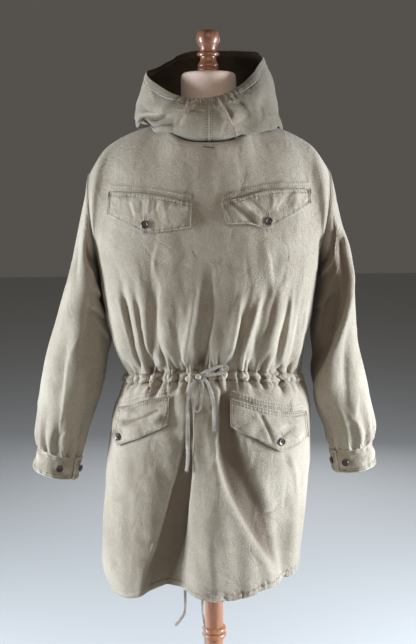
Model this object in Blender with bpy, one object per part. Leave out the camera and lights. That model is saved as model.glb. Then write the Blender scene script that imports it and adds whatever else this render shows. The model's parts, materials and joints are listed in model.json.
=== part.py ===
# Cotton anorak smock on a limbless dress form with a turned stand. Metres, +Z up, the front towards -Y, +X
# towards the wearer's left. The origin is the centre of the stand's underside.
import math

import bmesh
import bpy
import numpy as np
from mathutils import Vector
from mathutils.bvhtree import BVHTree

WALL = 0.0020          # thickness of single cloth
FLAP_WALL = 0.0022     # two layers, turned and stitched
CUFF_WALL = 0.0026
GAP = 0.0004           # clearance between pieces that meet at a seam
FLAP_LIFT = 0.0009     # clearance of a flap over the panel, which is faceted
FLAP_SEAM_LIFT = 0.00045

ARMPIT_Z = 1.235
SHOULDER_END = (0.236, 1.401)     # x, z of the outer end of the shoulder seam
NECK_ANGLE = 35.0                 # degrees of a panel's ring that lie under the neck seam
ARMHOLE_DEPTH = 0.074             # half the armhole's width, front to back
WAIST_SIDE_Z = 0.986
WAIST_FRONT_RISE = 0.040
WAIST_BACK_RISE = 0.006

# Rings of the smock's body, from hem to armpit: half-widths to -X and +X, depths to front and back,
# squareness of the ring, and how far the side seam lies inside the ridge in front of it.
BODY_COLUMNS = ("height", "right", "left", "front", "back", "square", "recess")
BODY = (
    (0.540, 0.214, 0.172, 0.178, 0.150, 2.25, 0.000),
    (0.585, 0.232, 0.178, 0.186, 0.158, 2.25, 0.000),
    (0.660, 0.231, 0.187, 0.188, 0.160, 2.30, 0.000),
    (0.760, 0.223, 0.196, 0.184, 0.158, 2.35, 0.000),
    (0.860, 0.212, 0.201, 0.176, 0.153, 2.40, 0.000),
    (0.930, 0.198, 0.199, 0.168, 0.147, 2.40, 0.000),
    (0.968, 0.184, 0.191, 0.157, 0.138, 2.35, 0.000),
    (0.990, 0.177, 0.183, 0.149, 0.130, 2.30, 0.000),
    (1.012, 0.181, 0.183, 0.154, 0.134, 2.35, 0.000),
    (1.050, 0.196, 0.189, 0.165, 0.143, 2.45, 0.002),
    (1.100, 0.204, 0.200, 0.168, 0.146, 2.55, 0.004),
    (1.165, 0.213, 0.209, 0.163, 0.144, 2.65, 0.006),
    (1.235, 0.225, 0.217, 0.158, 0.139, 2.70, 0.004),
)

# Height of the hem by the angle from the front centre, + towards +X.
HEM = (
    (-180, 0.588), (-135, 0.578), (-100, 0.566), (-75, 0.556), (-52, 0.566), (-32, 0.594), (-8, 0.592),
    (12, 0.585), (35, 0.596), (60, 0.594), (90, 0.594), (135, 0.590), (180, 0.588),
)

# The shoulder seam: height over the distance from the middle.
SHOULDER = (
    (0.085, 1.4975), (0.105, 1.4935), (0.137, 1.4835), (0.170, 1.4685), (0.197, 1.4500), (0.217, 1.4265),
    (0.236, 1.4010),
)

# The neck seam by the angle round the neck, 0 at the front, 90 at +X.
NECK_COLUMNS = ("angle", "radius", "height")
NECK = (
    (0, 0.112, 1.4590), (30, 0.107, 1.4665), (45, 0.1015, 1.4790), (60, 0.094, 1.4895), (75, 0.088, 1.4948),
    (90, 0.085, 1.4975), (135, 0.084, 1.4985), (180, 0.084, 1.4985), (225, 0.084, 1.4985),
    (270, 0.085, 1.4975), (285, 0.088, 1.4948), (300, 0.095, 1.4890), (315, 0.102, 1.4785),
    (330, 0.108, 1.4660),
)

# Long folds of the body. Columns: x at the low and the high end, those two heights, depth inwards and width.
FRONT_FOLDS = (
    (-0.150, -0.176, 1.010, 1.290, 0.011, 0.0085),
    (-0.130, -0.156, 1.010, 1.270, 0.011, 0.0085),
    (-0.106, -0.109, 1.010, 1.300, 0.015, 0.0110),
    (-0.068, -0.056, 1.010, 1.210, 0.008, 0.0090),
    (-0.026, -0.002, 1.048, 1.260, 0.015, 0.0110),
    (0.038, 0.072, 1.010, 1.240, 0.009, 0.0090),
    (0.078, 0.118, 1.010, 1.270, 0.009, 0.0100),
    (0.130, 0.160, 1.010, 1.250, 0.010, 0.0095),
    (-0.092, -0.050, 0.560, 1.000, 0.040, 0.0340),
    (0.044, 0.014, 0.700, 1.000, 0.015, 0.0140),
    (0.148, 0.118, 0.590, 0.860, 0.013, 0.0200),
    (-0.006, 0.004, 0.560, 0.900, -0.012, 0.0260),
    (0.020, 0.010, 1.340, 1.452, 0.0035, 0.0080),
    (-0.035, -0.022, 1.340, 1.452, 0.0035, 0.0080),
    (0.070, 0.042, 1.380, 1.458, 0.0040, 0.0080),
    (0.112, 0.066, 1.390, 1.468, 0.0040, 0.0090),
    (-0.118, -0.078, 1.390, 1.470, 0.0040, 0.0090),
)
BACK_FOLDS = (
    (-0.140, -0.165, 1.000, 1.270, 0.011, 0.0090),
    (-0.098, -0.110, 1.000, 1.230, 0.010, 0.0100),
    (-0.055, -0.050, 1.000, 1.300, 0.013, 0.0110),
    (-0.012, -0.002, 1.000, 1.210, 0.009, 0.0090),
    (0.034, 0.036, 1.000, 1.260, 0.012, 0.0100),
    (0.080, 0.090, 1.000, 1.290, 0.010, 0.0100),
    (0.130, 0.155, 1.000, 1.240, 0.012, 0.0090),
    (0.090, 0.050, 0.580, 0.980, 0.026, 0.0300),
    (-0.060, -0.030, 0.580, 0.980, 0.022, 0.0300),
    (0.005, 0.005, 0.580, 0.900, -0.010, 0.0300),
)

# Angles, in degrees, of the gathers that the waist cord pinches, on the front and on the back.
FRONT_GATHERS = (
    -71, -63, -55, -48, -40.5, -33, -26, -19.5, -12, -4, 4.5, 12, 20, 28.5, 36, 43.5, 51, 58.5, 66, 74)
BACK_GATHERS = (-72, -63, -54, -45.5, -37, -29, -20, -11, -3, 6, 14, 23, 32, 40, 49, 58, 66, 74)
GATHER_DEPTH = 0.0052
GATHER_WIDTH = 2.1       # degrees
GATHER_REACH = 0.020     # above and below the tunnel
FOLD_START = 0.040       # height over which a fold sets in at its low end
FOLD_FADE = 0.45         # share of its height over which it fades out at the high end
FOLD_OPENING = 0.5       # how much wider it is there
FOLD_LIMIT = 80          # folds and gathers flatten between this angle and the side seam
RECESS_WIDTH = 13        # degrees
WAIST_LEAN_REACH = 0.10  # height over which the rings follow the waist's slope
CHEST_RISE_POWER = 0.94  # how the cloth turns over from chest and back to the shoulders
CHEST_DEPTH_POWER = 0.9
CHEST_WIDTH_POWER = 2.4
ARMHOLE_BLEND = 58       # degrees from the centre line at which the cloth starts to turn to the armhole

# Rings of the sleeves: x and z of the outer and the inner edge, middle and half of the depth, squareness.
# The first ring is the armhole and the last one is sewn into the cuff.
SLEEVE_COLUMNS = ("x_out", "z_out", "x_in", "z_in", "y", "half", "square")
SLEEVE_RIGHT = (
    (0.2365, 1.4010, 0.2218, 1.2350, 0.000, 0.074, 2.0),
    (0.2480, 1.3480, 0.2300, 1.2160, 0.000, 0.078, 2.1),
    (0.2600, 1.2950, 0.2300, 1.1960, 0.002, 0.083, 2.2),
    (0.2720, 1.2400, 0.2260, 1.1720, 0.004, 0.086, 2.3),
    (0.2860, 1.1930, 0.2220, 1.1400, 0.004, 0.086, 2.3),
    (0.3060, 1.1330, 0.2170, 1.0980, 0.003, 0.082, 2.2),
    (0.3260, 1.0700, 0.2120, 1.0480, 0.001, 0.077, 2.2),
    (0.3430, 1.0060, 0.2180, 0.9900, -0.001, 0.072, 2.1),
    (0.3550, 0.9420, 0.2370, 0.9300, -0.003, 0.068, 2.1),
    (0.3620, 0.8860, 0.2590, 0.8740, -0.005, 0.059, 2.1),
    (0.3600, 0.8560, 0.2720, 0.8340, -0.006, 0.046, 2.1),
    (0.3585, 0.8475, 0.2745, 0.8250, -0.006, 0.042, 2.1),
)
SLEEVE_LEFT = (
    (0.2365, 1.4010, 0.2142, 1.2350, 0.000, 0.074, 2.0),
    (0.2490, 1.3480, 0.2260, 1.2140, 0.000, 0.078, 2.1),
    (0.2590, 1.2960, 0.2270, 1.1950, 0.002, 0.083, 2.2),
    (0.2720, 1.2400, 0.2240, 1.1700, 0.004, 0.086, 2.3),
    (0.2820, 1.1900, 0.2190, 1.1400, 0.004, 0.086, 2.3),
    (0.2890, 1.1300, 0.2130, 1.0980, 0.003, 0.082, 2.2),
    (0.2960, 1.0680, 0.2050, 1.0450, 0.001, 0.077, 2.2),
    (0.3100, 1.0060, 0.1990, 0.9900, -0.001, 0.073, 2.1),
    (0.3240, 0.9440, 0.2140, 0.9280, -0.003, 0.068, 2.1),
    (0.3330, 0.8880, 0.2360, 0.8740, -0.005, 0.059, 2.1),
    (0.3310, 0.8620, 0.2450, 0.8440, -0.006, 0.046, 2.1),
    (0.3295, 0.8500, 0.2475, 0.8350, -0.006, 0.042, 2.1),
)
SLEEVE_PLEATS = 12
PLEAT_DEPTH = 0.0045
PLEAT_REACH = 3.6        # rings above the cuff
PLEAT_PRESS = 0.72       # how much of a pleat's depth the cuff's seam presses flat
SLEEVE_FOLD_SLANT = 0.018
# Folds across a sleeve: rise along it (ring number), angle round it, depth, half-length in rings,
# half-width in degrees.
SLEEVE_FOLDS = (
    (3.6, 305, 0.012, 1.3, 16), (5.2, 280, 0.010, 1.0, 17), (4.6, 340, 0.007, 1.4, 14),
    (6.4, 250, 0.008, 1.0, 16), (7.6, 300, 0.006, 1.1, 15), (2.2, 60, 0.007, 1.0, 18),
    (4.9, 120, 0.008, 1.2, 18), (6.8, 80, 0.007, 1.1, 16),
)

# Cuffs: a strip whose outer end lies over its inner one. The angle of the inner end (0 outer side, 90
# front, 180 inner side), how far the outer end gapes, and the angles of the two buttons.
CUFF_HEIGHT = 0.047
CUFF_OVERLAP = 46        # degrees
CUFF_SEAM_GAP = 0.0005
CUFF_LAYER_GAP = 0.0006
CUFF_STEP_OUT = (300, 352)   # degrees from the inner end over which the strip climbs over it
CUFF_FLARE = 0.035
CUFFS = {"right": (190, 0.0030, (104, 166)), "left": (190, 0.0000, (119, 167))}

# The hood, by the angle round the neck: radius and height of its under fold, edge, body, upper body and rim.
HOOD_COLUMNS = ("angle", "r1", "z1", "r2", "z2", "r3", "z3", "r4", "z4", "r5", "z5")
HOOD = (
    (0, 0.1190, 1.4680, 0.1250, 1.4820, 0.1270, 1.5020, 0.1180, 1.5240, 0.1010, 1.5410),
    (35, 0.1170, 1.4760, 0.1290, 1.4750, 0.1300, 1.5050, 0.1160, 1.5350, 0.0905, 1.5600),
    (65, 0.1150, 1.4945, 0.1330, 1.4845, 0.1290, 1.5180, 0.1160, 1.5550, 0.0900, 1.5850),
    (90, 0.1190, 1.4985, 0.1390, 1.4880, 0.1260, 1.5350, 0.1190, 1.5750, 0.0990, 1.6090),
    (115, 0.1200, 1.4990, 0.1560, 1.4700, 0.1560, 1.5200, 0.1430, 1.5800, 0.1190, 1.6250),
    (138, 0.1190, 1.5000, 0.1760, 1.4420, 0.1900, 1.5000, 0.1720, 1.5850, 0.1420, 1.6420),
    (160, 0.1180, 1.5010, 0.1820, 1.4300, 0.2020, 1.4900, 0.1800, 1.5850, 0.1340, 1.6460),
    (180, 0.1180, 1.5010, 0.1840, 1.4250, 0.2040, 1.4850, 0.1790, 1.5850, 0.1260, 1.6475),
    (200, 0.1180, 1.5010, 0.1820, 1.4300, 0.2000, 1.4900, 0.1730, 1.5750, 0.1220, 1.6440),
    (222, 0.1180, 1.5000, 0.1740, 1.4470, 0.1840, 1.4950, 0.1580, 1.5650, 0.1080, 1.6270),
    (245, 0.1190, 1.4990, 0.1530, 1.4790, 0.1540, 1.5200, 0.1380, 1.5650, 0.1060, 1.6100),
    (275, 0.1190, 1.4985, 0.1350, 1.4970, 0.1395, 1.5180, 0.1330, 1.5520, 0.1205, 1.5930),
    (305, 0.1170, 1.4870, 0.1320, 1.4850, 0.1340, 1.5060, 0.1220, 1.5350, 0.1060, 1.5620),
    (332, 0.1160, 1.4750, 0.1280, 1.4790, 0.1300, 1.5000, 0.1200, 1.5260, 0.1010, 1.5430),
)
# Troughs pressed into the hood: angle, place along the profile (0 neck seam, 1 rim), depth, half-widths of
# each.
HOOD_FOLDS = (
    (312, 0.52, 0.010, 17, 0.09), (292, 0.30, 0.006, 14, 0.08), (62, 0.55, 0.011, 13, 0.16),
    (35, 0.40, 0.006, 10, 0.14), (100, 0.60, 0.007, 10, 0.20), (200, 0.45, 0.012, 14, 0.16),
    (160, 0.55, 0.010, 12, 0.16), (232, 0.50, 0.008, 12, 0.16), (128, 0.45, 0.009, 10, 0.14),
)

# Pocket flaps: top and bottom edge as (x, z) corners from -X to +X, how far each end lifts off, and the
# button's x, z.
FLAPS = {
    "flap_chest_right": (
        ((-0.191, 1.3715), (-0.1045, 1.3660), (-0.0330, 1.3525)),
        ((-0.194, 1.3285), (-0.1570, 1.3120), (-0.1225, 1.2945), (-0.0500, 1.3040), (-0.0350, 1.3065)),
        (0.0010, 0.0015), (-0.1200, 1.3115)),
    "flap_chest_left": (
        ((0.0200, 1.3505), (0.1105, 1.3720), (0.1910, 1.3720)),
        ((0.0300, 1.3125), (0.0715, 1.3110), (0.1075, 1.3005), (0.1335, 1.3140), (0.1905, 1.3440)),
        (0.0075, 0.0010), (0.1075, 1.3155)),
    "flap_hip_right": (
        ((-0.1850, 0.9480), (-0.1385, 0.9720), (-0.0800, 0.9890)),
        ((-0.1975, 0.8900), (-0.1840, 0.8765), (-0.1540, 0.8950), (-0.1200, 0.9130), (-0.0820, 0.9350)),
        (0.0010, 0.0020), (-0.1835, 0.8955)),
    "flap_hip_left": (
        ((0.0340, 0.9850), (0.1060, 0.9600), (0.1860, 0.9380)),
        ((0.0355, 0.9310), (0.0870, 0.9030), (0.1300, 0.8740), (0.1560, 0.8740), (0.1900, 0.8860)),
        (0.0030, 0.0015), (0.1320, 0.8945)),
}
FLAP_COLUMNS = 10
FLAP_ROWS = 4
FLAP_CURL = 1.5          # how late down a flap its ends start to lift

BUTTON_RADIUS = 0.0076
BUTTON_HEIGHT = 0.0030

# Dress form: rings of the torso from its underside to the armpit, then its ridge follows the shoulder seam.
FORM = (
    (0.800, 0.140, 0.140, 0.096, 0.092, 2.2, 0.0),
    (0.840, 0.158, 0.158, 0.112, 0.106, 2.3, 0.0),
    (0.930, 0.160, 0.160, 0.110, 0.104, 2.3, 0.0),
    (1.010, 0.146, 0.146, 0.098, 0.094, 2.3, 0.0),
    (1.120, 0.162, 0.162, 0.106, 0.100, 2.3, 0.0),
    (1.235, 0.178, 0.178, 0.116, 0.110, 2.4, 0.0),
)
FORM_SHOULDER = 0.76     # share of the shoulder seam that the form lies under
FORM_NECK_RADIUS = 0.054
FORM_NECK_TOP = 1.500

POLE_PROFILE = (
    (0.0340, 0.0304), (0.0340, 0.0400), (0.0300, 0.0460), (0.0260, 0.0520), (0.0195, 0.0600),
    (0.0195, 0.4080), (0.0240, 0.4110), (0.0262, 0.4160), (0.0240, 0.4210), (0.0205, 0.4230),
    (0.0240, 0.4250), (0.0258, 0.4290), (0.0240, 0.4330), (0.0195, 0.4360), (0.0195, 0.7996),
)
BASE_PROFILE = (
    (0.1860, 0.0000), (0.1900, 0.0040), (0.1900, 0.0140), (0.1840, 0.0190), (0.1760, 0.0215),
    (0.1500, 0.0245), (0.0900, 0.0280), (0.0500, 0.0300),
)
FINIAL_PROFILE = (
    (0.0205, 1.5962), (0.0212, 1.5985), (0.0205, 1.6010), (0.0190, 1.6025), (0.0205, 1.6050),
    (0.0200, 1.6085), (0.0165, 1.6140), (0.0152, 1.6205), (0.0155, 1.6225), (0.0212, 1.6245),
    (0.0216, 1.6275), (0.0208, 1.6300), (0.0160, 1.6330), (0.0158, 1.6365), (0.0182, 1.6430),
    (0.0216, 1.6505), (0.0226, 1.6570), (0.0220, 1.6635), (0.0195, 1.6690), (0.0140, 1.6722),
)
NECK_CAP_PROFILE = (
    (0.0540, 1.5004), (0.0538, 1.5600), (0.0532, 1.5840), (0.0505, 1.5905), (0.0440, 1.5935),
    (0.0250, 1.5957),
)

# Cords, each a route of points chosen along its middle, with its diameter.
CORDS = {
    "waist_cord_end_right": (0.0060, (
        (-0.0302, -0.1560, 1.0190), (-0.0340, -0.1590, 1.0130), (-0.0400, -0.1635, 1.0010),
        (-0.0450, -0.1675, 0.9800), (-0.0465, -0.1690, 0.9400), (-0.0470, -0.1690, 0.9000),
        (-0.0472, -0.1680, 0.8640), (-0.0500, -0.1680, 0.8430))),
    "waist_cord_end_left": (0.0050, (
        (-0.0184, -0.1560, 1.0218), (-0.0130, -0.1580, 1.0190), (-0.0050, -0.1635, 1.0060),
        (0.0015, -0.1685, 0.9850), (0.0030, -0.1705, 0.9480), (0.0030, -0.1712, 0.9230))),
    "waist_cord_loop_left": (0.0036, (
        (-0.0196, -0.1560, 1.0299), (-0.0140, -0.1568, 1.0340), (0.0000, -0.1570, 1.0395),
        (0.0150, -0.1564, 1.0450), (0.0265, -0.1554, 1.0455), (0.0300, -0.1550, 1.0400),
        (0.0240, -0.1564, 1.0345), (0.0080, -0.1574, 1.0298), (-0.0080, -0.1574, 1.0275),
        (-0.0178, -0.1560, 1.0265))),
    "waist_cord_loop_right": (0.0036, (
        (-0.0254, -0.1562, 1.0175), (-0.0265, -0.1570, 1.0130), (-0.0290, -0.1615, 1.0050),
        (-0.0345, -0.1675, 0.9820), (-0.0342, -0.1690, 0.9660), (-0.0290, -0.1690, 0.9610),
        (-0.0235, -0.1690, 0.9660), (-0.0205, -0.1675, 0.9820), (-0.0183, -0.1620, 1.0050),
        (-0.0190, -0.1575, 1.0135), (-0.0214, -0.1562, 1.0181))),
    "hood_cord_right": (0.0040, (
        (-0.0190, -0.1117, 1.5340), (-0.0260, -0.1132, 1.5330), (-0.0340, -0.1167, 1.5270),
        (-0.0385, -0.1207, 1.5190), (-0.0440, -0.1232, 1.5110))),
    "hood_cord_left": (0.0045, (
        (0.0190, -0.1125, 1.5340), (0.0245, -0.1200, 1.5260), (0.0310, -0.1262, 1.5120),
        (0.0390, -0.1295, 1.4960), (0.0450, -0.1310, 1.4830), (0.0490, -0.1310, 1.4700))),
    "hem_cord_right": (0.0050, (
        (-0.0570, -0.1572, 0.5948), (-0.0570, -0.1570, 0.5700), (-0.0580, -0.1560, 0.5500),
        (-0.0600, -0.1560, 0.5430), (-0.0680, -0.1570, 0.5310), (-0.0755, -0.1575, 0.5215))),
    "hem_cord_left": (0.0045, (
        (-0.0230, -0.1928, 0.5906), (-0.0220, -0.1915, 0.5640), (-0.0195, -0.1890, 0.5400),
        (-0.0185, -0.1880, 0.5150), (-0.0180, -0.1880, 0.4900))),
}
KNOT = (-0.0255, -0.1556, 1.0250)
KNOT_SIZE = (0.0150, 0.0110, 0.0140)

# How finely each piece is divided.
PANEL_RISES = np.array([
    0, 0.035, 0.16, 0.30, 0.44, 0.555, 0.612, 0.650, 0.690, 0.77, 0.89, 1.0, 1.18, 1.38, 1.58, 1.77, 1.91, 1.97,
    2.0])
SLEEVE_PLACES = np.array([0, 0.7, 1.5, 2.4, 3.4, 4.4, 5.5, 6.6, 7.8, 9, 10, 11])
SLEEVE_SIDES = 24
CUFF_SIDES = 34
HOOD_KNOTS = (0.0, 0.10, 0.24, 0.45, 0.72, 1.0)
HOOD_ROWS = np.array([0, 0.05, 0.11, 0.18, 0.25, 0.35, 0.46, 0.58, 0.72, 0.87, 1.0])
HOOD_SEATED = 0.30       # places along the hood's profile below this lie over the panels
HOOD_LIFT = 0.0018
RAY_REACH = 0.06         # a ray that looks for a surface starts this far from it
RAY_START = 0.5          # and one from the front this far before the axis
ABOVE = 2.0              # a height over the whole part
NO_HEIGHT = -1.0
NEAR = (-0.004, 0.0, 0.004)
NEAR_SEAM = (-0.002, 0.0, 0.002)
BACK_SHARE = 1 - 1e-9    # keeps the back's edge columns on the back's half of each armhole
FORM_ANGLES = (
    -90, -82, -74, -66, -58, -50, -42, -35, -26, -17, -8, 0, 8, 17, 26, 35, 42, 50, 58, 66, 74, 82, 90)
FORM_RISES = (0.07, 0.25, 0.5, 0.75, 1.0, 1.22, 1.45, 1.67, 1.87, 2.0)
FORM_CLEARANCE = 0.0006
FORM_NECK_DROP = 0.004   # how far the form falls away under the neck points, over this share of its shoulder
FORM_NECK_REACH = 0.25
FORM_NECK_BASE = 0.0620
FORM_NECK_BASE_Z = 1.4800
BUTTON_CLEARANCE = 0.0004
BUTTON_SIDES = 14
BUTTON_BEVEL = 0.0006
BUTTON_SEAT = (0.6, 1.0)  # shares of the radius at which a button's underside is held clear of the cloth
CORD_SPACING = 2.5       # diameters between a cord's points
SLOPE_STEP = 0.002
COLUMN_SPACE = 2.2       # least angle between two of a panel's columns
SIDE_COLUMNS = (78, 84, 90)
FLAP_COLUMN_SPACE = 0.03

COLOURS = {
    "cloth": ((0.36, 0.33, 0.26), 0.92),
    "tape": ((0.55, 0.49, 0.42), 0.90),
    "button": ((0.06, 0.03, 0.04), 0.35),
    "calico": ((0.60, 0.46, 0.37), 0.95),
    "pole": ((0.50, 0.22, 0.10), 0.40),
    "finial": ((0.27, 0.09, 0.04), 0.25),
}


def table(rows, columns):
    return {name: np.array([row[i] for row in rows], float) for i, name in enumerate(columns)}


def curve(xs, ys, x):
    """A smooth line through the table's points, flat beyond its ends."""
    xs = np.asarray(xs, float)
    ys = np.asarray(ys, float)
    x = np.asarray(x, float)
    slope = np.gradient(ys, xs)
    i = np.clip(np.searchsorted(xs, x) - 1, 0, len(xs) - 2)
    h = xs[i + 1] - xs[i]
    t = np.clip((x - xs[i]) / h, 0, 1)
    start = (2 * t**3 - 3 * t**2 + 1) * ys[i] + (t**3 - 2 * t**2 + t) * h * slope[i]
    return start + (3 * t**2 - 2 * t**3) * ys[i + 1] + (t**3 - t**2) * h * slope[i + 1]


def round_curve(angles, values, angle):
    """The same through a closed table, the angle in degrees."""
    angles = np.asarray(angles, float)
    values = np.asarray(values, float)
    xs = np.concatenate([angles[-2:] - 360, angles, angles[:2] + 360])
    ys = np.concatenate([values[-2:], values, values[:2]])
    return curve(xs, ys, np.mod(angle, 360))


def step(low, high, x):
    t = np.clip((x - low) / (high - low), 0, 1)
    return t * t * (3 - 2 * t)


def unit(v):
    return v / np.maximum(np.linalg.norm(v, axis=-1, keepdims=True), 1e-12)


def own_angle(angle):
    """Degrees from the centre line of the front or the back, whichever is nearer: 90 at the side seams."""
    return 90 - np.abs(90 - np.abs(angle))


def waist_z(angle):
    c = np.cos(np.radians(angle))
    return WAIST_SIDE_Z + np.where(c > 0, WAIST_FRONT_RISE * c, -WAIST_BACK_RISE * c)


def ring(rows, angle, z, level):
    """A point of a horizontal ring at height z, its sizes read from the table at that level."""
    s = np.sin(np.radians(angle))
    c = np.cos(np.radians(angle))
    t = table(rows, BODY_COLUMNS)
    size = {name: curve(t["height"], t[name], level) for name in BODY_COLUMNS[1:]}
    half = np.where(s > 0, size["left"], size["right"])
    depth = np.where(c > 0, size["front"], size["back"])
    n = size["square"]
    r = (np.abs(s / half)**n + np.abs(c / depth)**n)**(-1 / n)
    r = r - size["recess"] * np.exp(-((own_angle(angle) - 90) / RECESS_WIDTH)**2)
    return np.stack([r * s, -r * c, z + 0 * r], -1)


def fold_shift(angle, z):
    """How far the long folds and the gathers move the cloth outwards."""
    t = table(BODY, BODY_COLUMNS)
    front = np.abs(angle) <= 90
    shift = np.zeros(np.broadcast(angle, z).shape)
    turned = np.where(angle > 0, 180 - angle, -180 - angle)
    for side, own, rows in ((front, angle, FRONT_FOLDS), (~front, turned, BACK_FOLDS)):
        depth_name = "front" if rows is FRONT_FOLDS else "back"
        for x_low, x_high, z_low, z_high, depth, width in rows:
            t_z = np.clip((z - z_low) / (z_high - z_low), 0, 1)
            x = x_low + (x_high - x_low) * t_z
            half = np.where(x > 0, curve(t["height"], t["left"], z), curve(t["height"], t["right"], z))
            deep = curve(t["height"], t[depth_name], z)
            n = curve(t["height"], t["square"], z)
            y = deep * (1 - np.abs(x / half)**n)**(1 / n)
            centre = np.degrees(np.arctan2(x, y))
            spread = width * (1.0 + FOLD_OPENING * t_z)
            far = np.radians(own - centre) * np.hypot(x, y) / spread
            reach = (z_high - z_low) * FOLD_FADE
            fade = step(z_low - FOLD_START, z_low, z) * (1 - step(z_high - reach, z_high, z))
            shift = shift - side * depth * fade * np.exp(-far**2)
    near = np.exp(-((z - waist_z(angle)) / GATHER_REACH)**2)
    for side, own, places in ((front, angle, FRONT_GATHERS), (~front, turned, BACK_GATHERS)):
        for place in places:
            shift = shift - side * GATHER_DEPTH * near * np.exp(-((own - place) / GATHER_WIDTH)**2)
    edge = 1 - step(FOLD_LIMIT, 90, own_angle(angle))
    return shift * edge


def neck_point(angle):
    t = table(NECK, NECK_COLUMNS)
    r = round_curve(t["angle"], t["radius"], angle)
    z = round_curve(t["angle"], t["height"], angle)
    a = np.radians(angle)
    return np.stack([r * np.sin(a), -r * np.cos(a), z], -1)


def shoulder_point(share, side):
    """A point of the shoulder seam, share 0 at the neck and 1 at its outer end."""
    x = SHOULDER[0][0] + (SHOULDER_END[0] - SHOULDER[0][0]) * share
    z = curve([p[0] for p in SHOULDER], [p[1] for p in SHOULDER], x)
    return np.stack([side * x, 0 * x, z], -1)


def top_point(angle):
    """The panel's upper edge: neck seam, then shoulder seam."""
    front = np.abs(angle) <= 90
    own = own_angle(angle)
    side = np.where(angle < 0, -1.0, 1.0)
    round_neck = np.clip(own / NECK_ANGLE, 0, 1) * 90
    neck = neck_point(side * np.where(front, round_neck, 180 - round_neck))
    share = np.clip((own - NECK_ANGLE) / (90 - NECK_ANGLE), 0, 1)
    return np.where((own < NECK_ANGLE)[..., None], neck, shoulder_point(share, side))


def armhole_point(share, side, to_front):
    """Half of an armhole, share 0 at the armpit and 1 at the shoulder seam."""
    low = ring(BODY, side * 90.0, ARMPIT_Z, ARMPIT_Z)[..., 0]
    a = math.pi * share
    up = (1 - np.cos(a)) / 2
    x = low + (side * SHOULDER_END[0] - low) * up
    z = ARMPIT_Z + (SHOULDER_END[1] - ARMPIT_Z) * up
    return np.stack([x, np.where(to_front, -1, 1) * ARMHOLE_DEPTH * np.sin(a), z], -1)


def draped(angle, rise):
    """The body's surface before its armhole is cut to shape."""
    hem = curve([p[0] for p in HEM], [p[1] for p in HEM], angle)
    low = np.clip(rise, 0, 1)
    s = np.clip(rise - 1, 0, 1)
    z = hem + (ARMPIT_Z - hem) * low
    lean = (waist_z(angle) - WAIST_SIDE_Z) * np.exp(-((z - waist_z(angle)) / WAIST_LEAN_REACH)**2)
    base = ring(BODY, angle, z, z - lean)
    end = top_point(angle)
    a = s * math.pi / 2
    base[..., 2] += (end[..., 2] - ARMPIT_Z) * np.sin(a)**CHEST_RISE_POWER
    base[..., 1] += (end[..., 1] - base[..., 1]) * (1 - np.cos(a)**CHEST_DEPTH_POWER)
    base[..., 0] += (end[..., 0] - base[..., 0]) * s**CHEST_WIDTH_POWER
    out = np.stack([np.sin(np.radians(angle)), -np.cos(np.radians(angle)), 0 * angle], -1)
    return base + out * fold_shift(angle, base[..., 2])[..., None]


def body_point(angle, rise):
    """The smock's body: angle from the front centre, rise 0 at the hem, 1 at the armpit, 2 at the top."""
    angle, rise = np.broadcast_arrays(np.asarray(angle, float), np.asarray(rise, float))
    side = np.where(angle < 0, -1.0, 1.0)
    s = np.clip(rise - 1, 0, 1)
    edge = armhole_point(s, side, np.abs(angle) <= 90)
    share = step(ARMHOLE_BLEND, 90, own_angle(angle)) * (s > 0)
    return draped(angle, rise) + (edge - draped(side * 90.0, rise)) * share[..., None]


def normals(points, closed=False):
    """Each grid point's normal, from the faces round it."""
    if closed:
        points = np.concatenate([points[:, -1:], points, points[:, :1]], axis=1)
    face = np.cross(points[1:, 1:] - points[:-1, :-1], points[1:, :-1] - points[:-1, 1:])
    total = np.zeros(points.shape)
    for rows in (slice(None, -1), slice(1, None)):
        for cols in (slice(None, -1), slice(1, None)):
            total[rows, cols] += unit(face)
    return unit(total[:, 1:-1] if closed else total)


def outward(thick, away):
    """Turns a grid's normals the way that most of them lie along the given directions."""
    return thick if (thick * away).sum() > 0 else -thick


def new_object(name, bm, colour):
    bmesh.ops.recalc_face_normals(bm, faces=bm.faces)
    mesh = bpy.data.meshes.new(name)
    bm.to_mesh(mesh)
    bm.free()
    mesh.shade_smooth()
    mesh.set_sharp_from_angle(angle=math.radians(40))
    obj = bpy.data.objects.new(name, mesh)
    bpy.context.collection.objects.link(obj)
    obj.data.materials.append(material(colour))
    return obj


def material(colour):
    found = bpy.data.materials.get(colour)
    if found:
        return found
    rgb, roughness = COLOURS[colour]
    made = bpy.data.materials.new(colour)
    made.use_nodes = True
    shader = made.node_tree.nodes["Principled BSDF"]
    shader.inputs["Base Color"].default_value = (*rgb, 1)
    shader.inputs["Roughness"].default_value = roughness
    shader.inputs["Metallic"].default_value = 0
    return made


def wall(name, outer, inner, closed=False, colour="cloth"):
    """A sheet of cloth: two grids of points joined round their edges, or round both ends of a closed tube."""
    rows, cols = outer.shape[:2]
    bm = bmesh.new()
    bmesh.ops.create_grid(bm, x_segments=cols - 1 + closed, y_segments=rows - 1, size=1)
    bm.verts.ensure_lookup_table()
    place = bm.verts.layers.int.new("place")
    width = cols + closed
    for i, v in enumerate(bm.verts):
        v[place] = i
        v.co = outer[i // width, (i % width) % cols]
    first = list(bm.faces)
    made = bmesh.ops.extrude_face_region(bm, geom=first, use_keep_orig=True)
    for v in made["geom"]:
        if isinstance(v, bmesh.types.BMVert):
            v.co = inner[v[place] // width, (v[place] % width) % cols]
    if closed:
        seam = [f for f in bm.faces if len({v[place] % width for v in f.verts}) == 1]
        bmesh.ops.delete(bm, geom=seam, context="FACES_ONLY")
        bmesh.ops.remove_doubles(bm, verts=bm.verts, dist=1e-6)
    return new_object(name, bm, colour)


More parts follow.
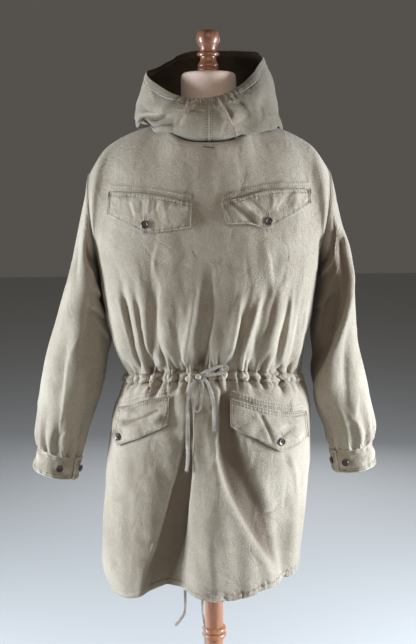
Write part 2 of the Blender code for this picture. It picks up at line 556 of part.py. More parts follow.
def pull_back(points, gap):
    """Draws a grid's first and last columns and its last row in, to leave half a seam's clearance."""
    points = points.copy()
    points[:, 0] += unit(points[:, 1] - points[:, 0]) * gap / 2
    points[:, -1] += unit(points[:, -2] - points[:, -1]) * gap / 2
    points[-1] += unit(points[-2] - points[-1]) * gap / 2
    return points


def panel(name, angles):
    """The front or the back. At the side and shoulder seams its thickness lies in the seam's own plane."""
    u, v = np.meshgrid(np.asarray(angles, float), PANEL_RISES)
    middle = body_point(wrap(u), v)
    thick = outward(normals(middle), middle - [0, 0, middle[..., 2].mean()])
    lower = PANEL_RISES <= 1
    for col in (0, -1):
        thick[lower, col] = [math.copysign(1, middle[0, col, 0]), 0, 0]
    on_seam = (own_angle(wrap(u[-1])) >= NECK_ANGLE)[:, None]
    thick[-1] = np.where(on_seam, seam_normal(middle[-1]), thick[-1])
    middle = pull_back(middle, GAP)
    return wall(name, middle + thick * WALL / 2, middle - thick * WALL / 2)


def seam_normal(points):
    """Upward normal of the shoulder seam at its points."""
    x = np.clip(np.abs(points[:, 0]), SHOULDER[0][0], SHOULDER_END[0])
    xs = [p[0] for p in SHOULDER]
    zs = [p[1] for p in SHOULDER]
    slope = (curve(xs, zs, x + SLOPE_STEP) - curve(xs, zs, x - SLOPE_STEP)) / (2 * SLOPE_STEP)
    return unit(np.stack([-np.sign(points[:, 0]) * slope, 0 * x, 1 + 0 * x], -1))


def wrap(angle):
    return np.where(angle > 180, angle - 360, angle)


def panel_angles(gathers):
    """Columns on each gather's trough and ridge, and on the neck points, sides and armholes."""
    ridges = [(a + b) / 2 for a, b in zip(gathers, gathers[1:])]
    kept = [a for a in (*gathers, *ridges) if abs(abs(a) - NECK_ANGLE) > COLUMN_SPACE]
    ends = (NECK_ANGLE, *SIDE_COLUMNS)
    return sorted({*kept, *ends, *(-a for a in ends)})


def sleeve_point(side, angle, place):
    """A sleeve's surface: angle 0 on its outer edge, 90 in front, 180 inside; place counts rings down."""
    t = table(SLEEVE_LEFT if side > 0 else SLEEVE_RIGHT, SLEEVE_COLUMNS)
    rings = np.arange(len(t["y"]))
    low = ring(BODY, side * 90.0, ARMPIT_Z, ARMPIT_Z)
    t["x_in"][0] = abs(low[0])
    t["x_out"][0], t["z_out"][0] = SHOULDER_END
    t["z_in"][0] = ARMPIT_Z
    size = {name: curve(rings, t[name], place) for name in SLEEVE_COLUMNS}
    c = np.cos(np.radians(angle))
    s = np.sin(np.radians(angle))
    n = size["square"]
    r = (np.abs(c)**n + np.abs(s)**n)**(-1 / n)
    last = len(rings) - 1
    half_x = (size["x_out"] - size["x_in"]) / 2
    half_z = (size["z_out"] - size["z_in"]) / 2
    half = np.hypot(half_x, half_z)
    pleated = step(last - PLEAT_REACH, last - 1, place) * (1 - PLEAT_PRESS * step(last - 1, last, place))
    shift = -PLEAT_DEPTH * np.cos(np.radians(SLEEVE_PLEATS * angle)) * pleated
    for at_place, at_angle, depth, long, wide in SLEEVE_FOLDS:
        turn = np.mod(angle - at_angle + 180, 360) - 180
        along = place - at_place - turn * SLEEVE_FOLD_SLANT
        shift = shift - depth * np.exp(-(along / long)**2 - (turn / wide)**2)
    shift = shift * step(0, 1, place) / half
    c = c * (r + shift)
    s = s * (r + shift)
    x = (size["x_out"] + size["x_in"]) / 2 + half_x * c
    z = (size["z_out"] + size["z_in"]) / 2 + half_z * c
    return np.stack([side * x, size["y"] - size["half"] * s, z], -1)


def sleeve_end(side):
    """The middle of a sleeve's last ring, its outward and downward directions, half-width and half-depth."""
    t = table(SLEEVE_LEFT if side > 0 else SLEEVE_RIGHT, SLEEVE_COLUMNS)
    out = np.array([side * t["x_out"][-1], t["y"][-1], t["z_out"][-1]])
    inner = np.array([side * t["x_in"][-1], t["y"][-1], t["z_in"][-1]])
    across = out - inner
    down = unit(np.array([side * across[2], 0.0, -abs(across[0])]))
    return (out + inner) / 2, unit(across), down, np.linalg.norm(across) / 2, t["half"][-1]


def build_sleeve(name, side):
    place, angle = np.meshgrid(SLEEVE_PLACES, np.arange(0, 360, 360 / SLEEVE_SIDES), indexing="ij")
    middle = sleeve_point(side, angle, place)
    centre = middle.mean(axis=1, keepdims=True)
    thick = outward(normals(middle, closed=True), middle - centre)
    middle[0, :, 0] += side * (GAP + WALL / 2)
    for row in (0, -1):
        thick[row] = unit(middle[row] - centre[row])
    wall(name, middle + thick * WALL / 2, middle - thick * WALL / 2, closed=True)


def cuff_point(side, turn, down, start, gape):
    """A cuff's middle: turn in degrees from its inner end, down 0 at the sleeve and 1 at the wrist."""
    centre, across, axis, half, deep = sleeve_end(side)
    angle = np.radians(start - turn)
    lap = step(*CUFF_STEP_OUT, turn)
    extra = lap * (CUFF_WALL + CUFF_LAYER_GAP) + gape * step(360, 360 + CUFF_OVERLAP, turn) * down
    r = 1.0 + CUFF_FLARE * down
    x = (half * r + extra) * np.cos(angle)
    y = -(deep * r + extra) * np.sin(angle)
    along = CUFF_SEAM_GAP + CUFF_HEIGHT * down
    front = np.stack([0 * x, 1 + 0 * x, 0 * x], -1)
    return centre + across * x[..., None] + front * y[..., None] + axis * along[..., None]


def build_cuff(name, side):
    start, gape, buttons = CUFFS["left" if side > 0 else "right"]
    turn, down = np.meshgrid(np.linspace(0, 360 + CUFF_OVERLAP, CUFF_SIDES), (0.0, 0.5, 1.0))
    middle = cuff_point(side, turn, down, start, gape)
    centre = sleeve_end(side)[0]
    thick = outward(normals(middle), middle - centre)
    obj = wall(name, middle + thick * CUFF_WALL / 2, middle - thick * CUFF_WALL / 2)
    tree = surface(obj)
    for i, angle in enumerate(buttons):
        turn_at = start - angle + (360 if angle > start - CUFF_OVERLAP else 0)
        at = cuff_point(side, np.array(float(turn_at)), np.array(0.5), start, gape)
        out = unit(at - (centre + sleeve_end(side)[2] * (CUFF_HEIGHT / 2)))
        button(f"button_{name}_{'ab'[i]}", tree, at, out)


def profile(knots, values, t):
    """The smooth line through values, one per knot, at t, for each point of a grid."""
    slope = np.gradient(values, knots, axis=0)
    i = np.clip(np.searchsorted(knots, t) - 1, 0, len(knots) - 2)
    pick = lambda a, k: np.take_along_axis(a, k[None], axis=0)[0]
    h = np.asarray(knots)[i + 1] - np.asarray(knots)[i]
    f = np.clip((t - np.asarray(knots)[i]) / h, 0, 1)
    start = (2 * f**3 - 3 * f**2 + 1) * pick(values, i) + (f**3 - 2 * f**2 + f) * h * pick(slope, i)
    return start + (3 * f**2 - 2 * f**3) * pick(values, i + 1) + (f**3 - f**2) * h * pick(slope, i + 1)


def hood_point(angle, t):
    """The hood: angle round the neck, t 0 at the neck seam and 1 at the rim."""
    angle, t = np.broadcast_arrays(np.asarray(angle, float), np.asarray(t, float))
    h = table(HOOD, HOOD_COLUMNS)
    neck = table(NECK, NECK_COLUMNS)
    seat = WALL / 2 + HOOD_LIFT
    radius = [round_curve(neck["angle"], neck["radius"], angle)]
    height = [round_curve(neck["angle"], neck["height"], angle) + seat]
    for k in "12345":
        radius.append(round_curve(h["angle"], h["r" + k], angle))
        height.append(round_curve(h["angle"], h["z" + k], angle))
    r = profile(HOOD_KNOTS, np.array(radius), t)
    z = profile(HOOD_KNOTS, np.array(height), t)
    for at, place, depth, wide, tall in HOOD_FOLDS:
        turn = np.mod(angle - at + 180, 360) - 180
        r = r - depth * np.exp(-(turn / wide)**2 - ((t - place) / tall)**2)
    a = np.radians(angle)
    return np.stack([r * np.sin(a), -r * np.cos(a), z], -1)


def top_z(trees, x, y, near):
    """The height of the highest surface round a point seen from above, or NO_HEIGHT where there is none."""
    down = Vector((0, 0, -1))
    starts = [Vector((x + dx, y + dy, ABOVE)) for dx in near for dy in near]
    found = [tree.ray_cast(start, down, ABOVE / 2)[0] for tree in trees for start in starts]
    return max([NO_HEIGHT, *(f.z for f in found if f)])


def build_hood(name, angles, panels):
    """Half of the hood, its lower rows lifted clear of the panels that they lie on."""
    t, angle = np.meshgrid(HOOD_ROWS, np.asarray(angles, float), indexing="ij")
    middle = hood_point(angle, t)
    trees = [surface(piece) for piece in panels]
    for row in np.flatnonzero(HOOD_ROWS < HOOD_SEATED):
        near = NEAR if row else NEAR_SEAM
        for point in middle[row]:
            point[2] = max(point[2], top_z(trees, point[0], point[1], near) + WALL / 2 + HOOD_LIFT)
    out = np.stack([np.sin(np.radians(angle)), -np.cos(np.radians(angle)), 0 * angle], -1)
    thick = outward(normals(middle), out)
    for col in (0, -1):
        thick[:, col] = unit(thick[:, col] * [0, 1, 1])
    middle = pull_back(middle, GAP)
    return wall(name, middle + thick * WALL / 2, middle - thick * WALL / 2)


def surface(obj):
    bm = bmesh.new()
    bm.from_mesh(obj.data)
    tree = BVHTree.FromBMesh(bm)
    bm.free()
    return tree


def hit(tree, point, direction):
    """Where a ray that comes in against direction first meets the surface near the point."""
    return tree.ray_cast(Vector(point) + Vector(direction) * RAY_REACH, -Vector(direction), 2 * RAY_REACH)[0]


def front_y(tree, x, z):
    found = tree.ray_cast(Vector((x, -RAY_START, z)), Vector((0, 1, 0)))[0]
    return found.y if found else None


def foremost_y(tree, x, z, near):
    """The foremost y of the surface near a point, so that a flat piece laid there clears its facets."""
    found = [front_y(tree, x + dx, z + dz) for dx in near for dz in near]
    return min(y for y in found if y is not None)


def button(name, tree, at, out):
    """A four-hole button's blank, seated on the surface with its face along out."""
    out = Vector(out).normalized()
    side = out.cross(Vector((0, 0, 1))).normalized()
    up = side.cross(out)
    centre = hit(tree, at, out)
    rims = [centre + (side * math.cos(a) + up * math.sin(a)) * BUTTON_RADIUS * f
            for a in np.linspace(0, 2 * math.pi, BUTTON_SIDES, endpoint=False) for f in BUTTON_SEAT]
    heights = [(p - centre).dot(out) for p in (hit(tree, q, out) for q in rims) if p]
    lift = max([0.0, *heights]) + BUTTON_CLEARANCE
    bm = bmesh.new()
    bmesh.ops.create_cone(bm, cap_ends=True, segments=BUTTON_SIDES, radius1=BUTTON_RADIUS,
                          radius2=BUTTON_RADIUS, depth=BUTTON_HEIGHT)
    rim = [e for e in bm.edges if min(v.co.z for v in e.verts) > 0]
    bmesh.ops.bevel(bm, geom=rim, offset=BUTTON_BEVEL, segments=1, affect="EDGES")
    obj = new_object(name, bm, "button")
    obj.location = centre + out * (lift + BUTTON_HEIGHT / 2)
    obj.rotation_euler = out.to_track_quat("Z", "Y").to_euler()


def build_flap(name, front, top, bottom, lifts, button_at):
    """A pocket flap laid on the front: each point is the front's own, moved out."""
    tx, tz = np.array(top).T
    bx, bz = np.array(bottom).T
    corners = (bx - bx[0]) / (bx[-1] - bx[0])
    a = np.array(sorted({*np.round(np.linspace(0, 1, FLAP_COLUMNS), 4), *np.round(corners[1:-1], 4)}))
    a = a[np.concatenate([[True], np.diff(a) > FLAP_COLUMN_SPACE])]
    a[-1] = 1.0
    b = np.linspace(0, 1, FLAP_ROWS)
    across, down = np.meshgrid(a, b)
    high_x = tx[0] + (tx[-1] - tx[0]) * across
    low_x = bx[0] + (bx[-1] - bx[0]) * across
    x = high_x + (low_x - high_x) * down
    high_z = np.interp(high_x, tx, tz)
    low_z = np.interp(low_x, bx, bz)
    z = high_z + (low_z - high_z) * down
    lift = (lifts[0] * (1 - across)**2 + lifts[1] * across**2) * down**FLAP_CURL
    tree = surface(front)
    near = [NEAR_SEAM, *[NEAR] * (FLAP_ROWS - 1)]
    y = [[foremost_y(tree, px, pz, reach) for px, pz in zip(*row)] for *row, reach in zip(x, z, near)]
    inner = np.stack([x, np.array(y), z], -1)
    out = outward(normals(inner), np.array([0, -1, 0]))
    inner = inner + out * (np.where(down > 0, FLAP_LIFT, FLAP_SEAM_LIFT) + lift)[..., None]
    obj = wall(name, inner + out * FLAP_WALL, inner)
    own = surface(obj)
    at = np.array([button_at[0], front_y(own, *button_at), button_at[1]])
    nearest = np.abs(inner - at).sum(-1).argmin()
    button("button_" + name, own, at, out.reshape(-1, 3)[nearest])


def form_point(angle, rise, share_end):
    """The torso of the dress form: rise 0 at its underside, 1 at the armpit, 2 at its top."""
    angle, rise = np.broadcast_arrays(np.asarray(angle, float), np.asarray(rise, float))
    z0 = FORM[0][0]
    low = np.clip(rise, 0, 1)
    s = np.clip(rise - 1, 0, 1)
    z = z0 + (ARMPIT_Z - z0) * low
    base = ring(FORM, angle, z, z)
    own = own_angle(angle)
    side = np.where(angle < 0, -1.0, 1.0)
    share = np.clip((own - NECK_ANGLE) / (90 - NECK_ANGLE), 0, 1) * share_end
    ridge = shoulder_point(share, side)
    near_neck = 1 - step(0, FORM_NECK_REACH, share / share_end)
    drop = WALL / 2 + FORM_CLEARANCE + FORM_NECK_DROP * near_neck
    ridge = ridge - seam_normal(ridge.reshape(-1, 3)).reshape(ridge.shape) * drop[..., None]
    turn = np.radians(own / NECK_ANGLE * 90)
    lean = np.where(np.abs(angle) <= 90, -1, 1)
    neck = np.stack([side * FORM_NECK_BASE * np.sin(turn), lean * FORM_NECK_BASE * np.cos(turn),
                     FORM_NECK_BASE_Z + 0 * turn], -1)
    end = np.where((own < NECK_ANGLE)[..., None], neck, ridge)
    a = s * math.pi / 2
    base[..., 2] += (end[..., 2] - ARMPIT_Z) * np.sin(a)
    base[..., 1] += (end[..., 1] - base[..., 1]) * (1 - np.cos(a))
    base[..., 0] += (end[..., 0] - base[..., 0]) * (1 - np.cos(a))
    return base


def build_form():
    """The torso: a closed skin from its flat underside to the shoulder ridge, the neck drawn up from it."""
    ring_angles = [*FORM_ANGLES, *[180 - a for a in reversed(FORM_ANGLES)][1:-1]]
    ring_angles = [a if a <= 180 else a - 360 for a in ring_angles]
    bm = bmesh.new()
    start = [bm.verts.new(form_point(a, 0.0, FORM_SHOULDER)) for a in ring_angles]
    bm.faces.new(start)
    edges = [bm.edges.get((a, b)) for a, b in zip(start, start[1:] + start[:1])]
    loop = start
    for rise in FORM_RISES:
        made = bmesh.ops.extrude_edge_only(bm, edges=edges)["geom"]
        edges = [e for e in made if isinstance(e, bmesh.types.BMEdge)]
        fresh = [v for v in made if isinstance(v, bmesh.types.BMVert)]
        near = {tuple(round(c, 7) for c in v.co): v for v in fresh}
        loop = [near[tuple(round(c, 7) for c in v.co)] for v in loop]
        edges = [bm.edges.get((a, b)) for a, b in zip(loop, loop[1:] + loop[:1])]
        for a, v in zip(ring_angles, loop):
            v.co = form_point(a, rise, FORM_SHOULDER)
    bmesh.ops.remove_doubles(bm, verts=loop, dist=1e-5)
    rim = [e for e in bm.edges if len(e.link_faces) == 1]
    made = bmesh.ops.extrude_edge_only(bm, edges=rim)["geom"]
    top = [v for v in made if isinstance(v, bmesh.types.BMVert)]
    for v in top:
        flat = Vector((v.co.x, v.co.y, 0)).normalized() * FORM_NECK_RADIUS
        v.co = (flat.x, flat.y, FORM_NECK_TOP)
    bmesh.ops.contextual_create(bm, geom=[e for e in made if isinstance(e, bmesh.types.BMEdge)])
    new_object("form_torso", bm, "calico")


def turned(name, outline, colour, steps):
    """A turned piece: an outline of (radius, height), low to high, spun about the stand's axis."""
    bm = bmesh.new()
    line = [bm.verts.new((r, 0, z)) for r, z in ((0.0, outline[0][1]), *outline, (0.0, outline[-1][1]))]
    edges = [bm.edges.new(pair) for pair in zip(line, line[1:])]
    bmesh.ops.spin(bm, geom=line + edges, cent=(0, 0, 0), axis=(0, 0, 1), angle=2 * math.pi, steps=steps,
                   use_duplicate=False)
    bmesh.ops.remove_doubles(bm, verts=bm.verts, dist=1e-5)
    return new_object(name, bm, colour)


def build_stand():
    turned("stand_base", BASE_PROFILE, "pole", steps=36)
    turned("stand_pole", POLE_PROFILE, "pole", steps=16)
    turned("neck_cap", NECK_CAP_PROFILE, "calico", steps=24)
    turned("neck_finial", FINIAL_PROFILE, "finial", steps=16)


def cord_line(points, spacing):
    """Evenly spaced points of the smooth curve through a route's own points."""
    points = np.array(points)
    run = np.concatenate([[0], np.cumsum(np.linalg.norm(np.diff(points, axis=0), axis=1))])
    count = max(3, round(run[-1] / spacing) + 1)
    at = np.linspace(0, run[-1], count)
    return np.stack([curve(run, points[:, k], at) for k in range(3)], -1)


def build_cord(name, diameter, points):
    line = bpy.data.curves.new(name, "CURVE")
    line.dimensions = "3D"
    line.bevel_depth = diameter / 2
    line.bevel_resolution = 2
    line.use_fill_caps = True
    spline = line.splines.new("POLY")
    route = cord_line(points, diameter * CORD_SPACING)
    spline.points.add(len(route) - 1)
    for point, place in zip(spline.points, route):
        point.co = (*place, 1)
    obj = bpy.data.objects.new(name, line)
    bpy.context.collection.objects.link(obj)
    line.materials.append(material("tape"))


def build_knot():
    bm = bmesh.new()
    bmesh.ops.create_icosphere(bm, subdivisions=2, radius=0.5)
    bmesh.ops.scale(bm, vec=KNOT_SIZE, verts=bm.verts)
    bmesh.ops.translate(bm, vec=KNOT, verts=bm.verts)
    new_object("waist_cord_knot", bm, "tape")


def main():
    for obj in list(bpy.data.objects):
        bpy.data.objects.remove(obj)
    front_angles = panel_angles(FRONT_GATHERS)
    back_angles = [180 + a * BACK_SHARE for a in panel_angles(BACK_GATHERS)]
    front = panel("front", front_angles)
    back = panel("back", back_angles)
    for name, side in (("left", 1), ("right", -1)):
        build_sleeve("sleeve_" + name, side)
        build_cuff("cuff_" + name, side)
    round_front = [a / NECK_ANGLE * 90 for a in front_angles if 0 <= abs(a) <= NECK_ANGLE]
    round_back = [180 + (a - 180) / NECK_ANGLE * 90 for a in back_angles if abs(a - 180) <= NECK_ANGLE]
    ring_angles = sorted({round(a, 4) for a in (*round_front, *round_back, 0, 180)})
    right_angles = sorted({*(a for a in ring_angles if a >= 180), *(360 + a for a in ring_angles if a <= 0)})
    build_hood("hood_left", [a for a in ring_angles if 0 <= a <= 180], (front, back))
    build_hood("hood_right", right_angles, (front, back))
    for name, (top, bottom, lifts, button_at) in FLAPS.items():
        build_flap(name, front, top, bottom, lifts, button_at)
    build_form()
    build_stand()
    for name, (diameter, points) in CORDS.items():
        build_cord(name, diameter, points)
    build_knot()


main()
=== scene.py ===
# Dresses the anorak smock and its form: cloth with folds, seams and topstitching, tapes, buttons and turned wood.
# Metres, +Z up, the front towards -Y, +X towards the wearer's left.
import json
import math

import bmesh
import bpy
import numpy as np
from mathutils import Matrix, Vector
from mathutils.bvhtree import BVHTree

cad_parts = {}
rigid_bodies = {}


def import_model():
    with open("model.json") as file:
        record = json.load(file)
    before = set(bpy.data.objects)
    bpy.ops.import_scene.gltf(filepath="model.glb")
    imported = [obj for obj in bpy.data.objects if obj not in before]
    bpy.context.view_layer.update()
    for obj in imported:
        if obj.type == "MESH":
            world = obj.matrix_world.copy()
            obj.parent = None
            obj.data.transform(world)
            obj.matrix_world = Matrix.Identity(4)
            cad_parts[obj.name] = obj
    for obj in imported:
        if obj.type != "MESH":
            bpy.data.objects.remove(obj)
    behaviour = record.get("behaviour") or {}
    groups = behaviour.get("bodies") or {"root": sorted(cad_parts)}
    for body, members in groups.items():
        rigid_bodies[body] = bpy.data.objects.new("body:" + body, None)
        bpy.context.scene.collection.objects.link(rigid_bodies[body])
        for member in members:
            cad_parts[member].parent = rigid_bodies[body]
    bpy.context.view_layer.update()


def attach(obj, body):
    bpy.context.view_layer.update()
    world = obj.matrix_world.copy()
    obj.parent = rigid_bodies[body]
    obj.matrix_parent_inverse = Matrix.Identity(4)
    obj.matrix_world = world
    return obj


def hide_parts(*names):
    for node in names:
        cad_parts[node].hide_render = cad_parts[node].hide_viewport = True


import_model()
scene = bpy.context.scene
print("frame loaded")


# Camera: a little above the chest, tilted down and slightly turned.
cameraSetup = {"place": (-0.006, -1.9, 1.45), "down": 10.4, "turn": 0.64, "lens": 53.1, "film": 36}


def makeCamera():
    data = bpy.data.cameras.new("camera")
    data.lens = cameraSetup["lens"]
    data.sensor_width = cameraSetup["film"]
    camera = bpy.data.objects.new("camera", data)
    scene.collection.objects.link(camera)
    down = math.radians(cameraSetup["down"])
    turn = math.radians(cameraSetup["turn"])
    right = Vector((1, 0, 0))
    up = Vector((0, math.sin(down), math.cos(down)))
    back = right.cross(up)
    turned = (right * math.cos(turn) - up * math.sin(turn), right * math.sin(turn) + up * math.cos(turn), back)
    place = Matrix(turned).transposed().to_4x4()
    place.translation = cameraSetup["place"]
    camera.matrix_world = place
    scene.camera = camera


makeCamera()


def plainObject(name, bm):
    mesh = bpy.data.meshes.new(name)
    bm.to_mesh(mesh)
    bm.free()
    obj = bpy.data.objects.new(name, mesh)
    scene.collection.objects.link(obj)
    return obj


# Studio: a pale floor and soft light from both sides.
studio = {
    "floor": (0.62, 0.62, 0.61), "air": (1.0, 0.93, 0.84), "airStrength": 0.09,
    "lamps": (  # name, place, what it faces, size, watts, colour
        ("windowRight", (2.05, -0.25, 1.02), (0.05, 0.0, 1.0), (0.5, 1.2), 118, (0.78, 0.88, 1.0)),
        ("windowLeft", (-2.05, -0.30, 1.12), (-0.05, 0.0, 1.0), (0.5, 1.2), 92, (0.78, 0.88, 1.0)),
        ("ceiling", (0.2, -1.8, 2.3), (0.0, 0.0, 1.2), (1.5, 1.1), 11, (1.0, 0.92, 0.83)),
        ("behind", (0.3, 2.6, 1.3), (0.0, 0.0, 1.1), (1.4, 1.2), 16, (0.92, 0.95, 1.0)),
    ),
}


def makeStudio():
    bm = bmesh.new()
    bmesh.ops.create_grid(bm, x_segments=1, y_segments=1, size=9)
    floor = plainObject("floor", bm)
    material = bpy.data.materials.new("floorPaint")
    material.use_nodes = True
    paint = material.node_tree.nodes["Principled BSDF"].inputs
    paint["Base Color"].default_value = (*studio["floor"], 1)
    paint["Roughness"].default_value = 0.8
    floor.data.materials.append(material)
    world = bpy.data.worlds.new("air")
    world.use_nodes = True
    air = world.node_tree.nodes["Background"].inputs
    air["Color"].default_value = (*studio["air"], 1)
    air["Strength"].default_value = studio["airStrength"]
    scene.world = world
    for name, place, target, size, watts, colour in studio["lamps"]:
        data = bpy.data.lights.new(name, "AREA")
        data.shape = "RECTANGLE"
        data.size, data.size_y = size
        data.energy = watts
        data.color = colour
        lamp = bpy.data.objects.new(name, data)
        scene.collection.objects.link(lamp)
        lamp.location = place
        lamp.rotation_euler = (Vector(target) - Vector(place)).to_track_quat("-Z", "Y").to_euler()
    scene.view_settings.view_transform = "Standard"


makeStudio()
print("camera and studio set")


# Shader groups. Each puts out a value or a mask that changes over the surface.
def startGroup(name, inputs, outputs):
    tree = bpy.data.node_groups.new(name, "ShaderNodeTree")
    for label, kind, value in inputs:
        socket = tree.interface.new_socket(label, in_out="INPUT", socket_type=kind)
        if value is not None:
            socket.default_value = value
    for label, kind in outputs:
        tree.interface.new_socket(label, in_out="OUTPUT", socket_type=kind)
    return tree, tree.nodes.new("NodeGroupInput"), tree.nodes.new("NodeGroupOutput")


def mathNode(tree, operation, *values):
    node = tree.nodes.new("ShaderNodeMath")
    node.operation = operation
    for i, value in enumerate(values):
        if isinstance(value, (int, float)):
            node.inputs[i].default_value = value
        else:
            tree.links.new(value, node.inputs[i])
    return node.outputs[0]


def rampNode(tree, value, low, high, first=0.0, last=1.0):
    node = tree.nodes.new("ShaderNodeMapRange")
    node.interpolation_type = "SMOOTHSTEP"
    for socket, given in (("From Min", low), ("From Max", high), ("To Min", first), ("To Max", last)):
        node.inputs[socket].default_value = given
    tree.links.new(value, node.inputs["Value"])
    return node.outputs["Result"]


def noiseNode(tree, vector, scale, detail=3.0, roughness=0.5):
    node = tree.nodes.new("ShaderNodeTexNoise")
    for socket, given in (("Scale", scale), ("Detail", detail), ("Roughness", roughness)):
        if isinstance(given, (int, float)):
            node.inputs[socket].default_value = given
        else:
            tree.links.new(given, node.inputs[socket])
    tree.links.new(vector, node.inputs["Vector"])
    return node.outputs["Fac"]


def stretchNode(tree, vector, scale):
    node = tree.nodes.new("ShaderNodeMapping")
    node.inputs["Scale"].default_value = scale
    tree.links.new(vector, node.inputs["Vector"])
    return node.outputs["Vector"]


def chartNode(tree):
    node = tree.nodes.new("ShaderNodeUVMap")
    node.uv_map = "chart"
    return node.outputs["UV"]


def makeWeave():
    # Plain weave: threads over and under, a little uneven.
    tree, given, out = startGroup(
        "weave", (("Place", "NodeSocketVector", None), ("Threads", "NodeSocketFloat", 1300.0)),
        (("Height", "NodeSocketFloat"), ("Slub", "NodeSocketFloat")))
    parts = tree.nodes.new("ShaderNodeSeparateXYZ")
    tree.links.new(given.outputs["Place"], parts.inputs[0])
    turns = mathNode(tree, "MULTIPLY", given.outputs["Threads"], 2 * math.pi)
    warp = mathNode(tree, "SINE", mathNode(tree, "MULTIPLY", parts.outputs["X"], turns))
    weft = mathNode(tree, "SINE", mathNode(tree, "MULTIPLY", parts.outputs["Y"], turns))
    tree.links.new(mathNode(tree, "MULTIPLY", warp, weft), out.inputs["Height"])
    slubs = []
    for scale in ((520, 70, 1), (70, 520, 1)):
        stretched = stretchNode(tree, given.outputs["Place"], scale)
        slubs.append(rampNode(tree, noiseNode(tree, stretched, 1.0, 3.0, 0.6), 0.34, 0.70))
    tree.links.new(mathNode(tree, "MULTIPLY", mathNode(tree, "ADD", *slubs), 0.5), out.inputs["Slub"])
    return tree


def makeFade():
    # Washed-out cotton: broad clouds and long pale streaks.
    tree, given, out = startGroup(
        "fade", (("Place", "NodeSocketVector", None), ("Size", "NodeSocketFloat", 6.0)),
        (("Cloud", "NodeSocketFloat"), ("Speckle", "NodeSocketFloat")))
    cloud = noiseNode(tree, given.outputs["Place"], given.outputs["Size"], 4.0, 0.6)
    streak = noiseNode(tree, stretchNode(tree, given.outputs["Place"], (34, 34, 3)), 1.0, 3.0, 0.6)
    both = mathNode(tree, "ADD", mathNode(tree, "MULTIPLY", cloud, 0.82), mathNode(tree, "MULTIPLY", streak, 0.18))
    tree.links.new(rampNode(tree, both, 0.36, 0.66), out.inputs["Cloud"])
    speckle = noiseNode(tree, given.outputs["Place"], 420.0, 3.0, 0.7)
    tree.links.new(rampNode(tree, speckle, 0.30, 0.72), out.inputs["Speckle"])
    return tree


def makeCrumple():
    # Faint creases where smooth noise crosses its middle value.
    tree, given, out = startGroup(
        "crumple", (("Place", "NodeSocketVector", None), ("Size", "NodeSocketFloat", 22.0)),
        (("Height", "NodeSocketFloat"),))
    heights = []
    for k, width in ((1.0, 0.05), (2.3, 0.07)):
        size = mathNode(tree, "MULTIPLY", given.outputs["Size"], k)
        smooth = noiseNode(tree, given.outputs["Place"], size, 1.0, 0.4)
        off = mathNode(tree, "ABSOLUTE", mathNode(tree, "SUBTRACT", smooth, 0.5))
        heights.append(mathNode(tree, "DIVIDE", rampNode(tree, off, 0.0, width), k))
    broad = noiseNode(tree, given.outputs["Place"], mathNode(tree, "MULTIPLY", given.outputs["Size"], 0.6), 2.0, 0.5)
    total = mathNode(tree, "ADD", mathNode(tree, "ADD", heights[0], heights[1]), mathNode(tree, "MULTIPLY", broad, 1.6))
    tree.links.new(total, out.inputs["Height"])
    return tree


def makeWearAndShade():
    # Rubbed ridges and edges, and painted shade in the folds, from a value kept on the mesh: over 0.5 is worn, under it
    # painted shade.
    tree, given, out = startGroup(
        "wear", (("Value", "NodeSocketFloat", 0.5), ("Place", "NodeSocketVector", None)),
        (("Rubbed", "NodeSocketFloat"), ("Deep", "NodeSocketFloat")))
    broken = noiseNode(tree, given.outputs["Place"], 160.0, 4.0, 0.65)
    rubbed = rampNode(tree, given.outputs["Value"], 0.55, 0.95)
    uneven = rampNode(tree, broken, 0.30, 0.62, 0.35, 1.0)
    tree.links.new(mathNode(tree, "MULTIPLY", rubbed, uneven), out.inputs["Rubbed"])
    tree.links.new(rampNode(tree, given.outputs["Value"], 0.45, 0.05), out.inputs["Deep"])
    return tree


def makeGrain():
    # Wood: growth lines along the piece and fine pores.
    tree, given, out = startGroup(
        "grain", (("Place", "NodeSocketVector", None), ("Lines", "NodeSocketFloat", 60.0)),
        (("Line", "NodeSocketFloat"), ("Pore", "NodeSocketFloat")))
    wave = noiseNode(tree, stretchNode(tree, given.outputs["Place"], (1, 1, 0.07)), given.outputs["Lines"], 5.0, 0.6)
    tree.links.new(rampNode(tree, wave, 0.34, 0.66), out.inputs["Line"])
    fine = stretchNode(tree, given.outputs["Place"], (900, 900, 45))
    tree.links.new(rampNode(tree, noiseNode(tree, fine, 1.0, 2.0), 0.56, 0.70), out.inputs["Pore"])
    return tree


shaderGroups = {"weave": makeWeave(), "fade": makeFade(), "crumple": makeCrumple(), "wear": makeWearAndShade(),
                "grain": makeGrain()}


def placeGroup(tree, name, **given):
    node = tree.nodes.new("ShaderNodeGroup")
    node.node_tree = shaderGroups[name]
    for socket, value in given.items():
        if isinstance(value, (int, float)):
            node.inputs[socket].default_value = value
        else:
            tree.links.new(value, node.inputs[socket])
    return node


def mixColour(tree, share, first, second):
    node = tree.nodes.new("ShaderNodeMix")
    node.data_type = "RGBA"
    tree.links.new(share, node.inputs[0])
    for socket, value in ((node.inputs[6], first), (node.inputs[7], second)):
        if isinstance(value, tuple):
            socket.default_value = (*value, 1)
        else:
            tree.links.new(value, socket)
    return node.outputs[2]


def bumpNode(tree, height, strength, distance, before=None):
    node = tree.nodes.new("ShaderNodeBump")
    node.inputs["Strength"].default_value = strength
    node.inputs["Distance"].default_value = distance
    tree.links.new(height, node.inputs["Height"])
    if before is not None:
        tree.links.new(before, node.inputs["Normal"])
    return node.outputs["Normal"]


def startMaterial(name, roughness, **sockets):
    material = bpy.data.materials.new(name)
    material.use_nodes = True
    tree = material.node_tree
    shader = tree.nodes["Principled BSDF"]
    shader.inputs["Roughness"].default_value = roughness
    for socket, value in sockets.items():
        shader.inputs[socket.replace("_", " ")].default_value = value
    place = tree.nodes.new("ShaderNodeTexCoord").outputs["Object"]
    return material, tree, shader, place
